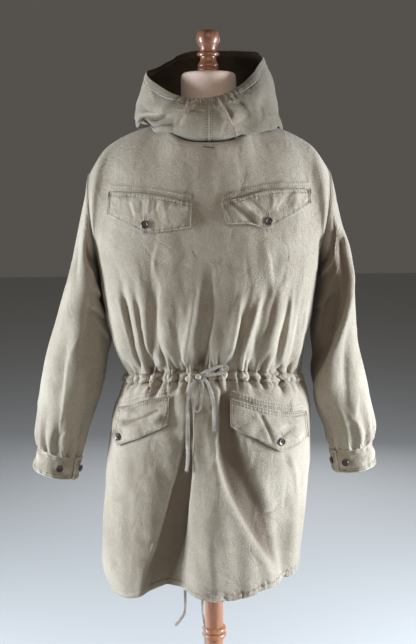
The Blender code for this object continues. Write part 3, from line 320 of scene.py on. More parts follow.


# deep is the colour of the painted shade in folds, hollows and pleats.
clothFinish = {
    "dark": (0.262, 0.213, 0.152), "light": (0.405, 0.347, 0.264), "rubbed": (0.620, 0.572, 0.480),
    "deep": (0.140, 0.094, 0.060),
}


def makeCloth(name, dark, light, rubbed, deep, threads=1300.0, roughness=0.88, sheen=0.16, fine=0.28):
    material, tree, shader, place = startMaterial(
        name, roughness, Sheen_Weight=sheen, Sheen_Roughness=0.55, Specular_IOR_Level=0.25)
    kept = tree.nodes.new("ShaderNodeAttribute")
    kept.attribute_name = "wear"
    weave = placeGroup(tree, "weave", Place=chartNode(tree), Threads=threads)
    fade = placeGroup(tree, "fade", Place=place, Size=7.0)
    wear = placeGroup(tree, "wear", Value=kept.outputs["Fac"], Place=place)
    crumple = placeGroup(tree, "crumple", Place=place, Size=20.0)
    colour = mixColour(tree, fade.outputs["Cloud"], dark, light)
    colour = mixColour(tree, mathNode(tree, "MULTIPLY", fade.outputs["Speckle"], 0.34), colour, rubbed)
    colour = mixColour(tree, mathNode(tree, "MULTIPLY", weave.outputs["Slub"], 0.42), colour, dark)
    # painted shade: the cloth turns to the deep colour where the kept value is low, in folds, hollows and pleats
    colour = mixColour(tree, mathNode(tree, "MULTIPLY", wear.outputs["Deep"], 0.75), colour, deep)
    colour = mixColour(tree, mathNode(tree, "MULTIPLY", wear.outputs["Rubbed"], 0.75), colour, rubbed)
    tree.links.new(colour, shader.inputs["Base Color"])
    normal = bumpNode(tree, crumple.outputs["Height"], fine, 0.0011)
    normal = bumpNode(tree, noiseNode(tree, place, 120.0, 5.0, 0.62), 0.50, 0.0014, normal)
    normal = bumpNode(tree, fade.outputs["Speckle"], 0.55, 0.0006, normal)
    normal = bumpNode(tree, weave.outputs["Slub"], 0.5, -0.0004, normal)
    tree.links.new(bumpNode(tree, weave.outputs["Height"], 0.5, 0.00012, normal), shader.inputs["Normal"])
    return material


def makeTape(name, dark, light):
    # Narrow woven tape: ribs across it, paler than the cloth.
    material, tree, shader, place = startMaterial(name, 0.85, Sheen_Weight=0.3, Sheen_Roughness=0.5)
    weave = placeGroup(tree, "weave", Place=chartNode(tree), Threads=1000.0)
    fade = placeGroup(tree, "fade", Place=place, Size=60.0)
    colour = mixColour(tree, fade.outputs["Cloud"], dark, light)
    colour = mixColour(tree, mathNode(tree, "MULTIPLY", weave.outputs["Slub"], 0.35), colour, (0.27, 0.22, 0.18))
    tree.links.new(colour, shader.inputs["Base Color"])
    tree.links.new(bumpNode(tree, weave.outputs["Height"], 0.8, 0.0002), shader.inputs["Normal"])
    return material


def makeThread(name, first, second):
    material, tree, shader, place = startMaterial(name, 0.7, Sheen_Weight=0.2)
    shade = noiseNode(tree, place, 300.0, 2.0)
    tree.links.new(mixColour(tree, shade, first, second), shader.inputs["Base Color"])
    return material


def makeButtonHorn():
    material, tree, shader, place = startMaterial("buttonHorn", 0.32, Coat_Weight=0.25, Coat_Roughness=0.2)
    cloud = rampNode(tree, noiseNode(tree, place, 190.0, 4.0, 0.6), 0.42, 0.68)
    tree.links.new(mixColour(tree, cloud, (0.028, 0.014, 0.014), (0.105, 0.050, 0.038)), shader.inputs["Base Color"])
    scratched = noiseNode(tree, place, 1400.0, 2.0)
    tree.links.new(rampNode(tree, scratched, 0.3, 0.7, 0.25, 0.5), shader.inputs["Roughness"])
    return material


def makeWood(name, dark, light, pore, roughness, coat, lines):
    material, tree, shader, place = startMaterial(name, roughness, Coat_Weight=coat, Coat_Roughness=0.12)
    grain = placeGroup(tree, "grain", Place=place, Lines=lines)
    colour = mixColour(tree, grain.outputs["Line"], dark, light)
    colour = mixColour(tree, mathNode(tree, "MULTIPLY", grain.outputs["Pore"], 0.7), colour, pore)
    cloud = noiseNode(tree, place, 9.0, 3.0)
    colour = mixColour(tree, rampNode(tree, cloud, 0.35, 0.75, 0.0, 0.35), colour, dark)
    tree.links.new(colour, shader.inputs["Base Color"])
    rough = rampNode(tree, grain.outputs["Line"], 0.0, 1.0, roughness + 0.06, max(0.05, roughness - 0.06))
    tree.links.new(rough, shader.inputs["Roughness"])
    tree.links.new(bumpNode(tree, grain.outputs["Pore"], 0.25, -0.0002), shader.inputs["Normal"])
    return material


def makeCalico():
    # Unbleached cover of the form: fine weave, a slight nap and faint upright streaks.
    material, tree, shader, place = startMaterial("formCalico", 0.9, Sheen_Weight=0.35, Sheen_Roughness=0.5)
    fade = placeGroup(tree, "fade", Place=place, Size=14.0)
    colour = mixColour(tree, fade.outputs["Cloud"], (0.74, 0.545, 0.450), (0.86, 0.670, 0.570))
    colour = mixColour(tree, mathNode(tree, "MULTIPLY", fade.outputs["Speckle"], 0.22), colour, (0.90, 0.76, 0.66))
    tree.links.new(colour, shader.inputs["Base Color"])
    fine = noiseNode(tree, place, 1500.0, 2.0, 0.7)
    tree.links.new(bumpNode(tree, fine, 0.5, 0.00025), shader.inputs["Normal"])
    return material


finishes = {
    "smockCloth": makeCloth("smockCloth", **clothFinish),
    # The hood's cloth is a darker copy of the smock's cloth: painted shade for the hood, which the side lamps barely
    # reach.
    "hoodClothShaded": makeCloth("hoodClothShaded", (0.180, 0.145, 0.098), (0.290, 0.243, 0.176), (0.52, 0.47, 0.38),
                           (0.096, 0.074, 0.047), fine=0.34),
    # The hood's inner face is a much darker copy of the cloth: painted shade inside the hood.
    "hoodInsideShaded": makeCloth("hoodInsideShaded", (0.062, 0.042, 0.027), (0.130, 0.092, 0.062), (0.22, 0.17, 0.12),
                            (0.018, 0.011, 0.007), sheen=0.06),
    # The smock's inner face is a darker copy of the cloth: painted shade inside the garment.
    "smockInsideShaded": makeCloth("smockInsideShaded", (0.16, 0.135, 0.10), (0.24, 0.21, 0.165), (0.32, 0.29, 0.24),
                             (0.07, 0.055, 0.04), sheen=0.12),
    "tapeCotton": makeTape("tapeCotton", (0.33, 0.285, 0.235), (0.54, 0.485, 0.42)),
    "tapeHood": makeTape("tapeHood", (0.25, 0.175, 0.125), (0.42, 0.32, 0.24)),
    "seamThread": makeThread("seamThread", (0.34, 0.295, 0.225), (0.52, 0.47, 0.385)),
    "pitShade": makeThread("pitShade", (0.07, 0.052, 0.036), (0.12, 0.095, 0.07)),
    # dark thread for the buttons and the bar tack, and painted shade in the buttonhole slits
    "darkThread": makeThread("darkThread", (0.05, 0.035, 0.028), (0.11, 0.08, 0.06)),
    "buttonHorn": makeButtonHorn(),
    "poleWood": makeWood("poleWood", (0.30, 0.110, 0.048), (0.52, 0.245, 0.125), (0.16, 0.055, 0.026),
                         roughness=0.38, coat=0.25, lines=46.0),
    "finialWood": makeWood("finialWood", (0.13, 0.042, 0.018), (0.31, 0.118, 0.058), (0.070, 0.024, 0.012),
                           roughness=0.36, coat=0.35, lines=70.0),
    "formCalico": makeCalico(),
}
print("materials made")


# Mesh tools.
def finishMesh(name, bm, materials, sharp=35):
    obj = plainObject(name, bm)
    for label in materials:
        obj.data.materials.append(finishes[label])
    obj.data.shade_smooth()
    obj.data.set_sharp_from_angle(angle=math.radians(sharp))
    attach(obj, "root")
    return obj


def gridPiece(name, points, away, materials, closed=False, chart=None, wear=None, thick=0.0, offset=0.0,
              sharp=60):
    # A piece of cloth or tape from a grid whose vertices are moved to the given points; faces look along away.
    rows, cols = points.shape[:2]
    width = cols + closed
    bm = bmesh.new()
    bmesh.ops.create_grid(bm, x_segments=width - 1, y_segments=rows - 1, size=1)
    mesh = bpy.data.meshes.new(name)
    bm.to_mesh(mesh)
    bm.free()
    order = np.arange(width) % cols
    mesh.vertices.foreach_set("co", points[:, order].astype(np.float32).ravel())
    if chart is not None:
        corners = np.zeros(len(mesh.loops), int)
        mesh.loops.foreach_get("vertex_index", corners)
        layer = mesh.uv_layers.new(name="chart")
        layer.data.foreach_set("uv", chart.reshape(-1, 2)[corners].astype(np.float32).ravel())
    kept = mesh.attributes.new("wear", "FLOAT", "POINT")
    values = np.full((rows, width), 0.5) if wear is None else wear[:, order]
    kept.data.foreach_set("value", np.clip(values, 0, 1).astype(np.float32).ravel())
    bm = bmesh.new()
    bm.from_mesh(mesh)
    bpy.data.meshes.remove(mesh)
    if closed:
        bmesh.ops.remove_doubles(bm, verts=bm.verts, dist=1e-6)
    bm.normal_update()
    facing = sum(f.normal.dot(Vector(away(f.calc_center_median()))) for f in list(bm.faces)[::37])
    if facing < 0:
        bmesh.ops.reverse_faces(bm, faces=bm.faces)
    obj = finishMesh(name, bm, materials, sharp=sharp)
    if thick:
        wall = obj.modifiers.new("wall", "SOLIDIFY")
        wall.thickness = thick
        wall.offset = offset
        wall.use_rim = True
        if len(materials) > 1:
            wall.material_offset = 1
            wall.material_offset_rim = 0
    return obj


def roundEdges(obj, width, segments=2, limit=50):
    edge = obj.modifiers.new("edge", "BEVEL")
    edge.width = width
    edge.segments = segments
    edge.limit_method = "ANGLE"
    edge.angle_limit = math.radians(limit)
    return obj


def surfaceOf(*objects):
    # A tree of the objects' finished faces, to find points on them.
    bm = bmesh.new()
    graph = bpy.context.evaluated_depsgraph_get()
    for obj in objects:
        made = obj.evaluated_get(graph).to_mesh()
        bm.from_mesh(made)
        obj.evaluated_get(graph).to_mesh_clear()
    tree = BVHTree.FromBMesh(bm)
    bm.free()
    return tree


def soften(field, rounds, axes=(0, 1), closed=False):
    for _ in range(rounds):
        for axis in axes:
            before = np.roll(field, 1, axis)
            after = np.roll(field, -1, axis)
            if not (closed and axis == 1):
                first = [slice(None)] * field.ndim
                last = [slice(None)] * field.ndim
                first[axis], last[axis] = 0, -1
                before[tuple(first)] = field[tuple(first)]
                after[tuple(last)] = field[tuple(last)]
            field = (before + 2 * field + after) / 4
    return field


def alongRows(points):
    # Distance along each row from its first point.
    steps = np.linalg.norm(np.diff(points, axis=1), axis=-1)
    return np.concatenate([np.zeros((len(points), 1)), np.cumsum(steps, axis=1)], axis=1)


def runAlong(points):
    return alongRows(points[None])[0]


def closeRows(grid):
    # Each row's first point again at its end.
    return np.concatenate([grid, grid[:, :1]], axis=1)


def downColumns(points):
    steps = np.linalg.norm(np.diff(points, axis=0), axis=-1)
    return np.concatenate([np.zeros((1, points.shape[1])), np.cumsum(steps, axis=0)], axis=0)


def crowd(points, count, turnLength, *fields):
    # Spaces each row's points anew so that they crowd where the cloth turns sharply. Fields follow.
    gaps = np.diff(points, axis=1)
    length = np.linalg.norm(gaps, axis=-1)
    ahead = gaps / np.maximum(length, 1e-9)[..., None]
    turn = np.linalg.norm(np.diff(ahead, axis=1), axis=-1)
    weight = length.copy()
    weight[:, 1:] += turn * turnLength / 2
    weight[:, :-1] += turn * turnLength / 2
    weight = soften(weight, 3)
    weight = soften(weight, 12, axes=(0,))
    share = np.concatenate([np.zeros((len(points), 1)), np.cumsum(weight, axis=1)], axis=1)
    share /= share[:, -1:]
    spots = np.array([np.interp(np.linspace(0, 1, count), row, np.arange(len(row))) for row in share])
    low = np.clip(np.floor(spots).astype(int), 0, points.shape[1] - 2)
    part = spots - low
    rows = np.arange(len(points))[:, None]

    def pick(field):
        f = part if field.ndim == 2 else part[..., None]
        return field[rows, low] * (1 - f) + field[rows, low + 1] * f
    return [pick(field) for field in (points, *fields)]


def waves(a, b, size, count, seed):
    # Smooth unevenness of about unit height from a few plane waves, size in the units of a and b.
    dice = np.random.default_rng(seed)
    lean = dice.uniform(0, 2 * math.pi, count)
    pace = dice.uniform(0.6, 1.7, count) * 2 * math.pi / size
    start = dice.uniform(0, 2 * math.pi, count)
    total = sum(np.sin((a * math.cos(t) + b * math.sin(t)) * k + s) for t, k, s in zip(lean, pace, start))
    return total / math.sqrt(count / 2)


def creases(across, up, rows, ledge=False):
    # Sum of the creases on a flat chart in metres. Each: depth, width, sharpness, fade shares at its two ends, and its
    # route in millimetres. A ledge falls away on the right of its route and stands out on the left.
    shift = np.zeros(across.shape)
    for depth, width, sharp, fade, *route in rows:
        line = np.array(route, float) / 1000
        reach = 5 * width if ledge or sharp < 2 else 3.2 * width
        low, high = line.min(0) - reach, line.max(0) + reach
        near = (across > low[0]) & (across < high[0]) & (up > low[1]) & (up < high[1])
        if not near.any():
            continue
        px, pz = across[near], up[near]
        best = np.full(px.shape, 9.0)
        along = np.zeros(px.shape)
        turnSide = np.ones(px.shape)
        run = 0.0
        for a, b in zip(line, line[1:]):
            d = b - a
            size = np.hypot(*d)
            t = np.clip(((px - a[0]) * d[0] + (pz - a[1]) * d[1]) / size**2, 0, 1)
            far = np.hypot(px - a[0] - t * d[0], pz - a[1] - t * d[1])
            closer = far < best
            best = np.where(closer, far, best)
            cross = d[0] * (pz - a[1]) - d[1] * (px - a[0])
            turnSide = np.where(closer, np.tanh(cross / size / (0.30 * width)), turnSide)
            along = np.where(closer, run + t * size, along)
            run += size
        s = along / run
        ends = step(0, max(fade[0], 1e-6), s) * (1 - step(1 - max(fade[1], 1e-6), 1, s))
        if fade[0] == 0:
            ends = 1 - step(1 - max(fade[1], 1e-6), 1, s)
        share = best / width / (2.4 if ledge else 1.0)
        shift[near] += depth * np.exp(-share**sharp) * ends * (turnSide if ledge else 1)
    return shift


def scatter(seed, count, box, lean, depth, width, length):
    # Short creases strewn over a chart: box in millimetres, lean in degrees from upright, sizes as (least, most).
    dice = np.random.default_rng(seed)
    made = []
    for _ in range(count):
        x, z = dice.uniform(box[0], box[1]), dice.uniform(box[2], box[3])
        way = math.radians(dice.uniform(*lean))
        bend = dice.uniform(-0.35, 0.35)
        size = dice.uniform(*length)
        a, b = math.sin(way), math.cos(way)
        middle = (x + bend * 0.22 * size * b, z - bend * 0.22 * size * a)
        sign = -1 if dice.uniform() < 0.62 else 1
        made.append((sign * dice.uniform(*depth), dice.uniform(*width), 2, (0.45, 0.45),
                     (x - a * size / 2, z - b * size / 2), middle, (x + a * size / 2, z + b * size / 2)))
    return made


def ridgeWearFoldShade(shift, size=6, scale=0.0022, closed=False):
    # 0.5 on flat cloth, more on rubbed ridges, and less in folds, where it gives painted shade.
    return 0.5 + (shift - soften(shift, size, closed=closed)) / scale * 0.5


# The smock's measures and surface. Metres and degrees.
bodyCut = {
    "armpit": 1.235, "shoulderEnd": (0.236, 1.401), "neckAngle": 35.0, "armholeDepth": 0.074,
    "waist": 0.986, "waistFrontRise": 0.040, "waistBackRise": 0.006, "recessWidth": 13,
    "waistLean": 0.10, "chestRise": 0.94, "chestDepth": 0.9, "chestWidth": 2.4, "armholeBlend": 58,
    "cloth": 0.0020,
}
foldCut = {
    "gatherDepth": 0.0052, "gatherWidth": 2.1, "gatherReach": 0.020, "start": 0.040, "fade": 0.72,
    "opening": 0.5, "limit": 80,
}
bodyColumns = ("height", "right", "left", "front", "back", "square", "recess")
bodyRings = (
    (0.540, 0.214, 0.172, 0.178, 0.150, 2.25, 0.000),
    (0.585, 0.232, 0.178, 0.186, 0.158, 2.25, 0.000),
    (0.660, 0.231, 0.187, 0.188, 0.160, 2.30, 0.000),
    (0.760, 0.223, 0.196, 0.184, 0.158, 2.35, 0.000),
    (0.860, 0.212, 0.201, 0.176, 0.153, 2.40, 0.000),
    (0.930, 0.198, 0.199, 0.168, 0.147, 2.40, 0.000),
    (0.968, 0.184, 0.191, 0.157, 0.138, 2.35, 0.000),
    (0.990, 0.177, 0.183, 0.149, 0.130, 2.30, 0.000),
    (1.012, 0.181, 0.183, 0.154, 0.134, 2.35, 0.000),
    (1.050, 0.196, 0.189, 0.165, 0.143, 2.45, 0.002),
    (1.100, 0.204, 0.200, 0.168, 0.146, 2.55, 0.004),
    (1.165, 0.213, 0.209, 0.163, 0.144, 2.65, 0.006),
    (1.235, 0.225, 0.217, 0.158, 0.139, 2.70, 0.004),
)
hemLine = (
    (-180, 0.588), (-135, 0.578), (-100, 0.566), (-75, 0.556), (-52, 0.566), (-32, 0.594), (-8, 0.592),
    (12, 0.585), (35, 0.596), (60, 0.594), (90, 0.594), (135, 0.590), (180, 0.588),
)
shoulderSeam = (
    (0.085, 1.4975), (0.105, 1.4935), (0.137, 1.4835), (0.170, 1.4685), (0.197, 1.4500), (0.217, 1.4265),
    (0.236, 1.4010),
)
neckColumns = ("angle", "radius", "height")
neckSeam = (
    (0, 0.112, 1.4590), (30, 0.107, 1.4665), (45, 0.1015, 1.4790), (60, 0.094, 1.4895), (75, 0.088, 1.4948),
    (90, 0.085, 1.4975), (135, 0.084, 1.4985), (180, 0.084, 1.4985), (225, 0.084, 1.4985),
    (270, 0.085, 1.4975), (285, 0.088, 1.4948), (300, 0.095, 1.4890), (315, 0.102, 1.4785),
    (330, 0.108, 1.4660),
)
frontFolds = (
    (-0.150, -0.176, 1.010, 1.290, 0.011, 0.0085),
    (-0.130, -0.156, 1.010, 1.270, 0.011, 0.0085),
    (-0.106, -0.109, 1.010, 1.300, 0.015, 0.0110),
    (-0.068, -0.056, 1.010, 1.210, 0.008, 0.0090),
    (-0.026, -0.002, 1.048, 1.260, 0.015, 0.0110),
    (0.038, 0.072, 1.010, 1.240, 0.009, 0.0090),
    (0.078, 0.118, 1.010, 1.270, 0.009, 0.0100),
    (0.130, 0.160, 1.010, 1.250, 0.010, 0.0095),
    (-0.092, -0.050, 0.560, 1.000, 0.040, 0.0340),
    (0.148, 0.118, 0.590, 0.860, 0.013, 0.0200),
    (-0.006, 0.004, 0.560, 0.900, -0.012, 0.0260),
    (0.020, 0.010, 1.340, 1.452, 0.0010, 0.0080),
    (-0.035, -0.022, 1.340, 1.452, 0.0010, 0.0080),
    (0.070, 0.042, 1.380, 1.458, 0.0014, 0.0080),
    (0.112, 0.066, 1.390, 1.468, 0.0014, 0.0090),
    (-0.118, -0.078, 1.390, 1.470, 0.0014, 0.0090),
)
backFolds = (
    (-0.140, -0.165, 1.000, 1.270, 0.011, 0.0090),
    (-0.098, -0.110, 1.000, 1.230, 0.010, 0.0100),
    (-0.055, -0.050, 1.000, 1.300, 0.013, 0.0110),
    (-0.012, -0.002, 1.000, 1.210, 0.009, 0.0090),
    (0.034, 0.036, 1.000, 1.260, 0.012, 0.0100),
    (0.080, 0.090, 1.000, 1.290, 0.010, 0.0100),
    (0.130, 0.155, 1.000, 1.240, 0.012, 0.0090),
    (0.090, 0.050, 0.580, 0.980, 0.026, 0.0300),
    (-0.060, -0.030, 0.580, 0.980, 0.022, 0.0300),
    (0.005, 0.005, 0.580, 0.900, -0.010, 0.0300),
)
frontGathers = (
    -71, -63, -55, -48, -40.5, -33, -26, -19.5, -12, -4, 4.5, 12, 20, 28.5, 36, 43.5, 51, 58.5, 66, 74)
backGathers = (-72, -63, -54, -45.5, -37, -29, -20, -11, -3, 6, 14, 23, 32, 40, 49, 58, 66, 74)


def table(rows, columns):
    return {name: np.array([row[i] for row in rows], float) for i, name in enumerate(columns)}


def curve(xs, ys, x):
    # A smooth line through the table's points, flat beyond its ends
    xs = np.asarray(xs, float)
    ys = np.asarray(ys, float)
    x = np.asarray(x, float)
    slope = np.gradient(ys, xs)
    i = np.clip(np.searchsorted(xs, x) - 1, 0, len(xs) - 2)
    h = xs[i + 1] - xs[i]
    t = np.clip((x - xs[i]) / h, 0, 1)
    start = (2 * t**3 - 3 * t**2 + 1) * ys[i] + (t**3 - 2 * t**2 + t) * h * slope[i]
    return start + (3 * t**2 - 2 * t**3) * ys[i + 1] + (t**3 - t**2) * h * slope[i + 1]


def roundCurve(angles, values, angle):
    # The same through a closed table, the angle in degrees
    angles = np.asarray(angles, float)
    values = np.asarray(values, float)
    xs = np.concatenate([angles[-2:] - 360, angles, angles[:2] + 360])
    ys = np.concatenate([values[-2:], values, values[:2]])
    return curve(xs, ys, np.mod(angle, 360))


def step(low, high, x):
    t = np.clip((x - low) / (high - low), 0, 1)
    return t * t * (3 - 2 * t)


def unit(v):
    return v / np.maximum(np.linalg.norm(v, axis=-1, keepdims=True), 1e-12)


def sideName(side):
    return "left" if side > 0 else "right"


def halfTurn(angle):
    # The same angle from -180 to 180
    return np.mod(angle + 180, 360) - 180


def wrap(angle):
    return np.where(angle > 180, angle - 360, angle)


def ownAngle(angle):
    # Degrees from the centre line of the front or the back, whichever is nearer: 90 at the side seams
    return 90 - np.abs(90 - np.abs(angle))


def waistZ(angle):
    c = np.cos(np.radians(angle))
    return bodyCut["waist"] + np.where(c > 0, bodyCut["waistFrontRise"] * c, -bodyCut["waistBackRise"] * c)


def ring(rows, angle, z, level):
    # A point of a horizontal ring at height z, its sizes read from the table at that level
    s = np.sin(np.radians(angle))
    c = np.cos(np.radians(angle))
    t = table(rows, bodyColumns)
    size = {name: curve(t["height"], t[name], level) for name in bodyColumns[1:]}
    half = np.where(s > 0, size["left"], size["right"])
    depth = np.where(c > 0, size["front"], size["back"])
    n = size["square"]
    r = (np.abs(s / half)**n + np.abs(c / depth)**n)**(-1 / n)
    r = r - size["recess"] * np.exp(-((ownAngle(angle) - 90) / bodyCut["recessWidth"])**2)
    return np.stack([r * s, -r * c, z + 0 * r], -1)


def foldShift(angle, z):
    # How far the long folds and the gathers move the cloth outwards
    t = table(bodyRings, bodyColumns)
    front = np.abs(angle) <= 90
    shift = np.zeros(np.broadcast(angle, z).shape)
    turned = np.where(angle > 0, 180 - angle, -180 - angle)
    for side, own, rows in ((front, angle, frontFolds), (~front, turned, backFolds)):
        depthName = "front" if rows is frontFolds else "back"
        for xLow, xHigh, zLow, zHigh, depth, width in rows:
            tZ = np.clip((z - zLow) / (zHigh - zLow), 0, 1)
            x = xLow + (xHigh - xLow) * tZ
            half = np.where(x > 0, curve(t["height"], t["left"], z), curve(t["height"], t["right"], z))
            deep = curve(t["height"], t[depthName], z)
            n = curve(t["height"], t["square"], z)
            y = deep * (1 - np.abs(x / half)**n)**(1 / n)
            centre = np.degrees(np.arctan2(x, y))
            spread = width * (1.0 + foldCut["opening"] * tZ)
            far = np.radians(own - centre) * np.hypot(x, y) / spread
            reach = (zHigh - zLow) * foldCut["fade"]
            fade = step(zLow - foldCut["start"], zLow, z) * (1 - step(zHigh - reach, zHigh, z))
            shift = shift - side * depth * fade * np.exp(-far**2)
    near = np.exp(-((z - waistZ(angle)) / foldCut["gatherReach"])**2)
    for side, own, places in ((front, angle, frontGathers), (~front, turned, backGathers)):
        for place in places:
            shift = shift - side * foldCut["gatherDepth"] * near * np.exp(-((own - place) / foldCut["gatherWidth"])**2)
    edge = 1 - step(foldCut["limit"], 90, ownAngle(angle))
    return shift * edge


def neckPoint(angle):
    t = table(neckSeam, neckColumns)
    r = roundCurve(t["angle"], t["radius"], angle)
    z = roundCurve(t["angle"], t["height"], angle)
    a = np.radians(angle)
    return np.stack([r * np.sin(a), -r * np.cos(a), z], -1)


def shoulderPoint(share, side):
    # A point of the shoulder seam, share 0 at the neck and 1 at its outer end
    x = shoulderSeam[0][0] + (bodyCut["shoulderEnd"][0] - shoulderSeam[0][0]) * share
    z = curve([p[0] for p in shoulderSeam], [p[1] for p in shoulderSeam], x)
    return np.stack([side * x, 0 * x, z], -1)


def topPoint(angle):
    # The panel's upper edge: neck seam, then shoulder seam
    front = np.abs(angle) <= 90
    own = ownAngle(angle)
    side = np.where(angle < 0, -1.0, 1.0)
    roundNeck = np.clip(own / bodyCut["neckAngle"], 0, 1) * 90
    neck = neckPoint(side * np.where(front, roundNeck, 180 - roundNeck))
    share = np.clip((own - bodyCut["neckAngle"]) / (90 - bodyCut["neckAngle"]), 0, 1)
    return np.where((own < bodyCut["neckAngle"])[..., None], neck, shoulderPoint(share, side))


def armholePoint(share, side, toFront):
    # Half of an armhole, share 0 at the armpit and 1 at the shoulder seam
    low = ring(bodyRings, side * 90.0, bodyCut["armpit"], bodyCut["armpit"])[..., 0]
    a = math.pi * share
    up = (1 - np.cos(a)) / 2
    x = low + (side * bodyCut["shoulderEnd"][0] - low) * up
    z = bodyCut["armpit"] + (bodyCut["shoulderEnd"][1] - bodyCut["armpit"]) * up
    return np.stack([x, np.where(toFront, -1, 1) * bodyCut["armholeDepth"] * np.sin(a), z], -1)


def draped(angle, rise):
    # The body's surface before its armhole is cut to shape
    hem = curve([p[0] for p in hemLine], [p[1] for p in hemLine], angle)
    low = np.clip(rise, 0, 1)
    s = np.clip(rise - 1, 0, 1)
    z = hem + (bodyCut["armpit"] - hem) * low
    lean = (waistZ(angle) - bodyCut["waist"]) * np.exp(-((z - waistZ(angle)) / bodyCut["waistLean"])**2)
    base = ring(bodyRings, angle, z, z - lean)
    end = topPoint(angle)
    a = s * math.pi / 2
    base[..., 2] += (end[..., 2] - bodyCut["armpit"]) * np.sin(a)**bodyCut["chestRise"]
    base[..., 1] += (end[..., 1] - base[..., 1]) * (1 - np.cos(a)**bodyCut["chestDepth"])
    base[..., 0] += (end[..., 0] - base[..., 0]) * s**bodyCut["chestWidth"]
    out = np.stack([np.sin(np.radians(angle)), -np.cos(np.radians(angle)), 0 * angle], -1)
    return base + out * foldShift(angle, base[..., 2])[..., None]


def bodyPoint(angle, rise):
    # The smock's body: angle from the front centre, rise 0 at the hem, 1 at the armpit, 2 at the top
    angle, rise = np.broadcast_arrays(np.asarray(angle, float), np.asarray(rise, float))
    side = np.where(angle < 0, -1.0, 1.0)
    s = np.clip(rise - 1, 0, 1)
    edge = armholePoint(s, side, np.abs(angle) <= 90)
    share = step(bodyCut["armholeBlend"], 90, ownAngle(angle)) * (s > 0)
    return draped(angle, rise) + (edge - draped(side * 90.0, rise)) * share[..., None]


def normals(points, closed=False):
    # Each grid point's normal, from the faces round it
    if closed:
        points = np.concatenate([points[:, -1:], points, points[:, :1]], axis=1)
    face = np.cross(points[1:, 1:] - points[:-1, :-1], points[1:, :-1] - points[:-1, 1:])
    total = np.zeros(points.shape)
    for rows in (slice(None, -1), slice(1, None)):
        for cols in (slice(None, -1), slice(1, None)):
            total[rows, cols] += unit(face)
    return unit(total[:, 1:-1] if closed else total)


def outward(thick, away):
    # Turns a grid's normals the way that most of them lie along the given directions
    return thick if (thick * away).sum() > 0 else -thick


cordRoutes = {
    "waist_cord_end_right": (
        (-0.0302, -0.1560, 1.0190), (-0.0340, -0.1590, 1.0130), (-0.0400, -0.1635, 1.0010),
        (-0.0450, -0.1675, 0.9800), (-0.0465, -0.1690, 0.9400), (-0.0470, -0.1690, 0.9000),
        (-0.0472, -0.1680, 0.8640), (-0.0500, -0.1680, 0.8430)),
    "waist_cord_end_left": (
        (-0.0184, -0.1560, 1.0218), (-0.0130, -0.1580, 1.0190), (-0.0050, -0.1635, 1.0060),
        (0.0015, -0.1685, 0.9850), (0.0030, -0.1705, 0.9480), (0.0030, -0.1712, 0.9230)),
    "waist_cord_loop_left": (
        (-0.0196, -0.1560, 1.0299), (-0.0140, -0.1568, 1.0340), (0.0000, -0.1570, 1.0395),
        (0.0150, -0.1564, 1.0450), (0.0265, -0.1554, 1.0455), (0.0300, -0.1550, 1.0400),
        (0.0240, -0.1564, 1.0345), (0.0080, -0.1574, 1.0298), (-0.0080, -0.1574, 1.0275),
        (-0.0178, -0.1560, 1.0265)),
    "waist_cord_loop_right": (
        (-0.0254, -0.1562, 1.0175), (-0.0265, -0.1570, 1.0130), (-0.0290, -0.1615, 1.0050),
        (-0.0345, -0.1675, 0.9820), (-0.0342, -0.1690, 0.9660), (-0.0290, -0.1690, 0.9610),
        (-0.0235, -0.1690, 0.9660), (-0.0205, -0.1675, 0.9820), (-0.0183, -0.1620, 1.0050),
        (-0.0190, -0.1575, 1.0135), (-0.0214, -0.1562, 1.0181)),
    "hood_cord_right": (
        (-0.0190, -0.1117, 1.5340), (-0.0260, -0.1132, 1.5330), (-0.0340, -0.1167, 1.5270),
        (-0.0385, -0.1207, 1.5190), (-0.0440, -0.1232, 1.5110)),
    "hood_cord_left": (
        (0.0190, -0.1125, 1.5340), (0.0245, -0.1200, 1.5260), (0.0310, -0.1262, 1.5120),
        (0.0390, -0.1295, 1.4960), (0.0450, -0.1310, 1.4830), (0.0490, -0.1310, 1.4700)),
    "hem_cord_right": (
        (-0.0570, -0.1572, 0.5948), (-0.0570, -0.1570, 0.5700), (-0.0580, -0.1560, 0.5500),
        (-0.0600, -0.1560, 0.5430), (-0.0680, -0.1570, 0.5310), (-0.0755, -0.1575, 0.5215)),
    "hem_cord_left": (
        (-0.0230, -0.1928, 0.5906), (-0.0220, -0.1915, 0.5640), (-0.0195, -0.1890, 0.5400),
        (-0.0185, -0.1880, 0.5150), (-0.0180, -0.1880, 0.4900)),
}


def cordLine(points, spacing):
    # Evenly spaced points of the smooth curve through a route's own points
    points = np.array(points)
    run = runAlong(points)
    count = max(3, round(run[-1] / spacing) + 1)
    at = np.linspace(0, run[-1], count)
    return np.stack([curve(run, points[:, k], at) for k in range(3)], -1)


# Tapes: the waist bow, the hood's ends and the hem's ends. Width, thickness and the way their flat side faces.
tapeShapes = {
    "waist_cord_end_right": (0.0088, 0.0022, "tipped"), "waist_cord_end_left": (0.0072, 0.0020, "tipped"),
    "waist_cord_loop_left": (0.0060, 0.0019, "looped"), "waist_cord_loop_right": (0.0060, 0.0019, "looped"),
    "hood_cord_right": (0.0062, 0.0018, "tipped"), "hood_cord_left": (0.0066, 0.0018, "tipped"),
    "hem_cord_right": (0.0064, 0.0018, "tipped"), "hem_cord_left": (0.0056, 0.0018, "tipped"),
}
tapeMake = {"spacing": 0.0022, "sides": 12, "twist": 24, "frayLength": 0.007, "frayThreads": 11,
            "frayThick": 0.00042, "frayInside": 0.0012}


def tapePath(name):
    return cordLine(cordRoutes[name], tapeMake["spacing"])


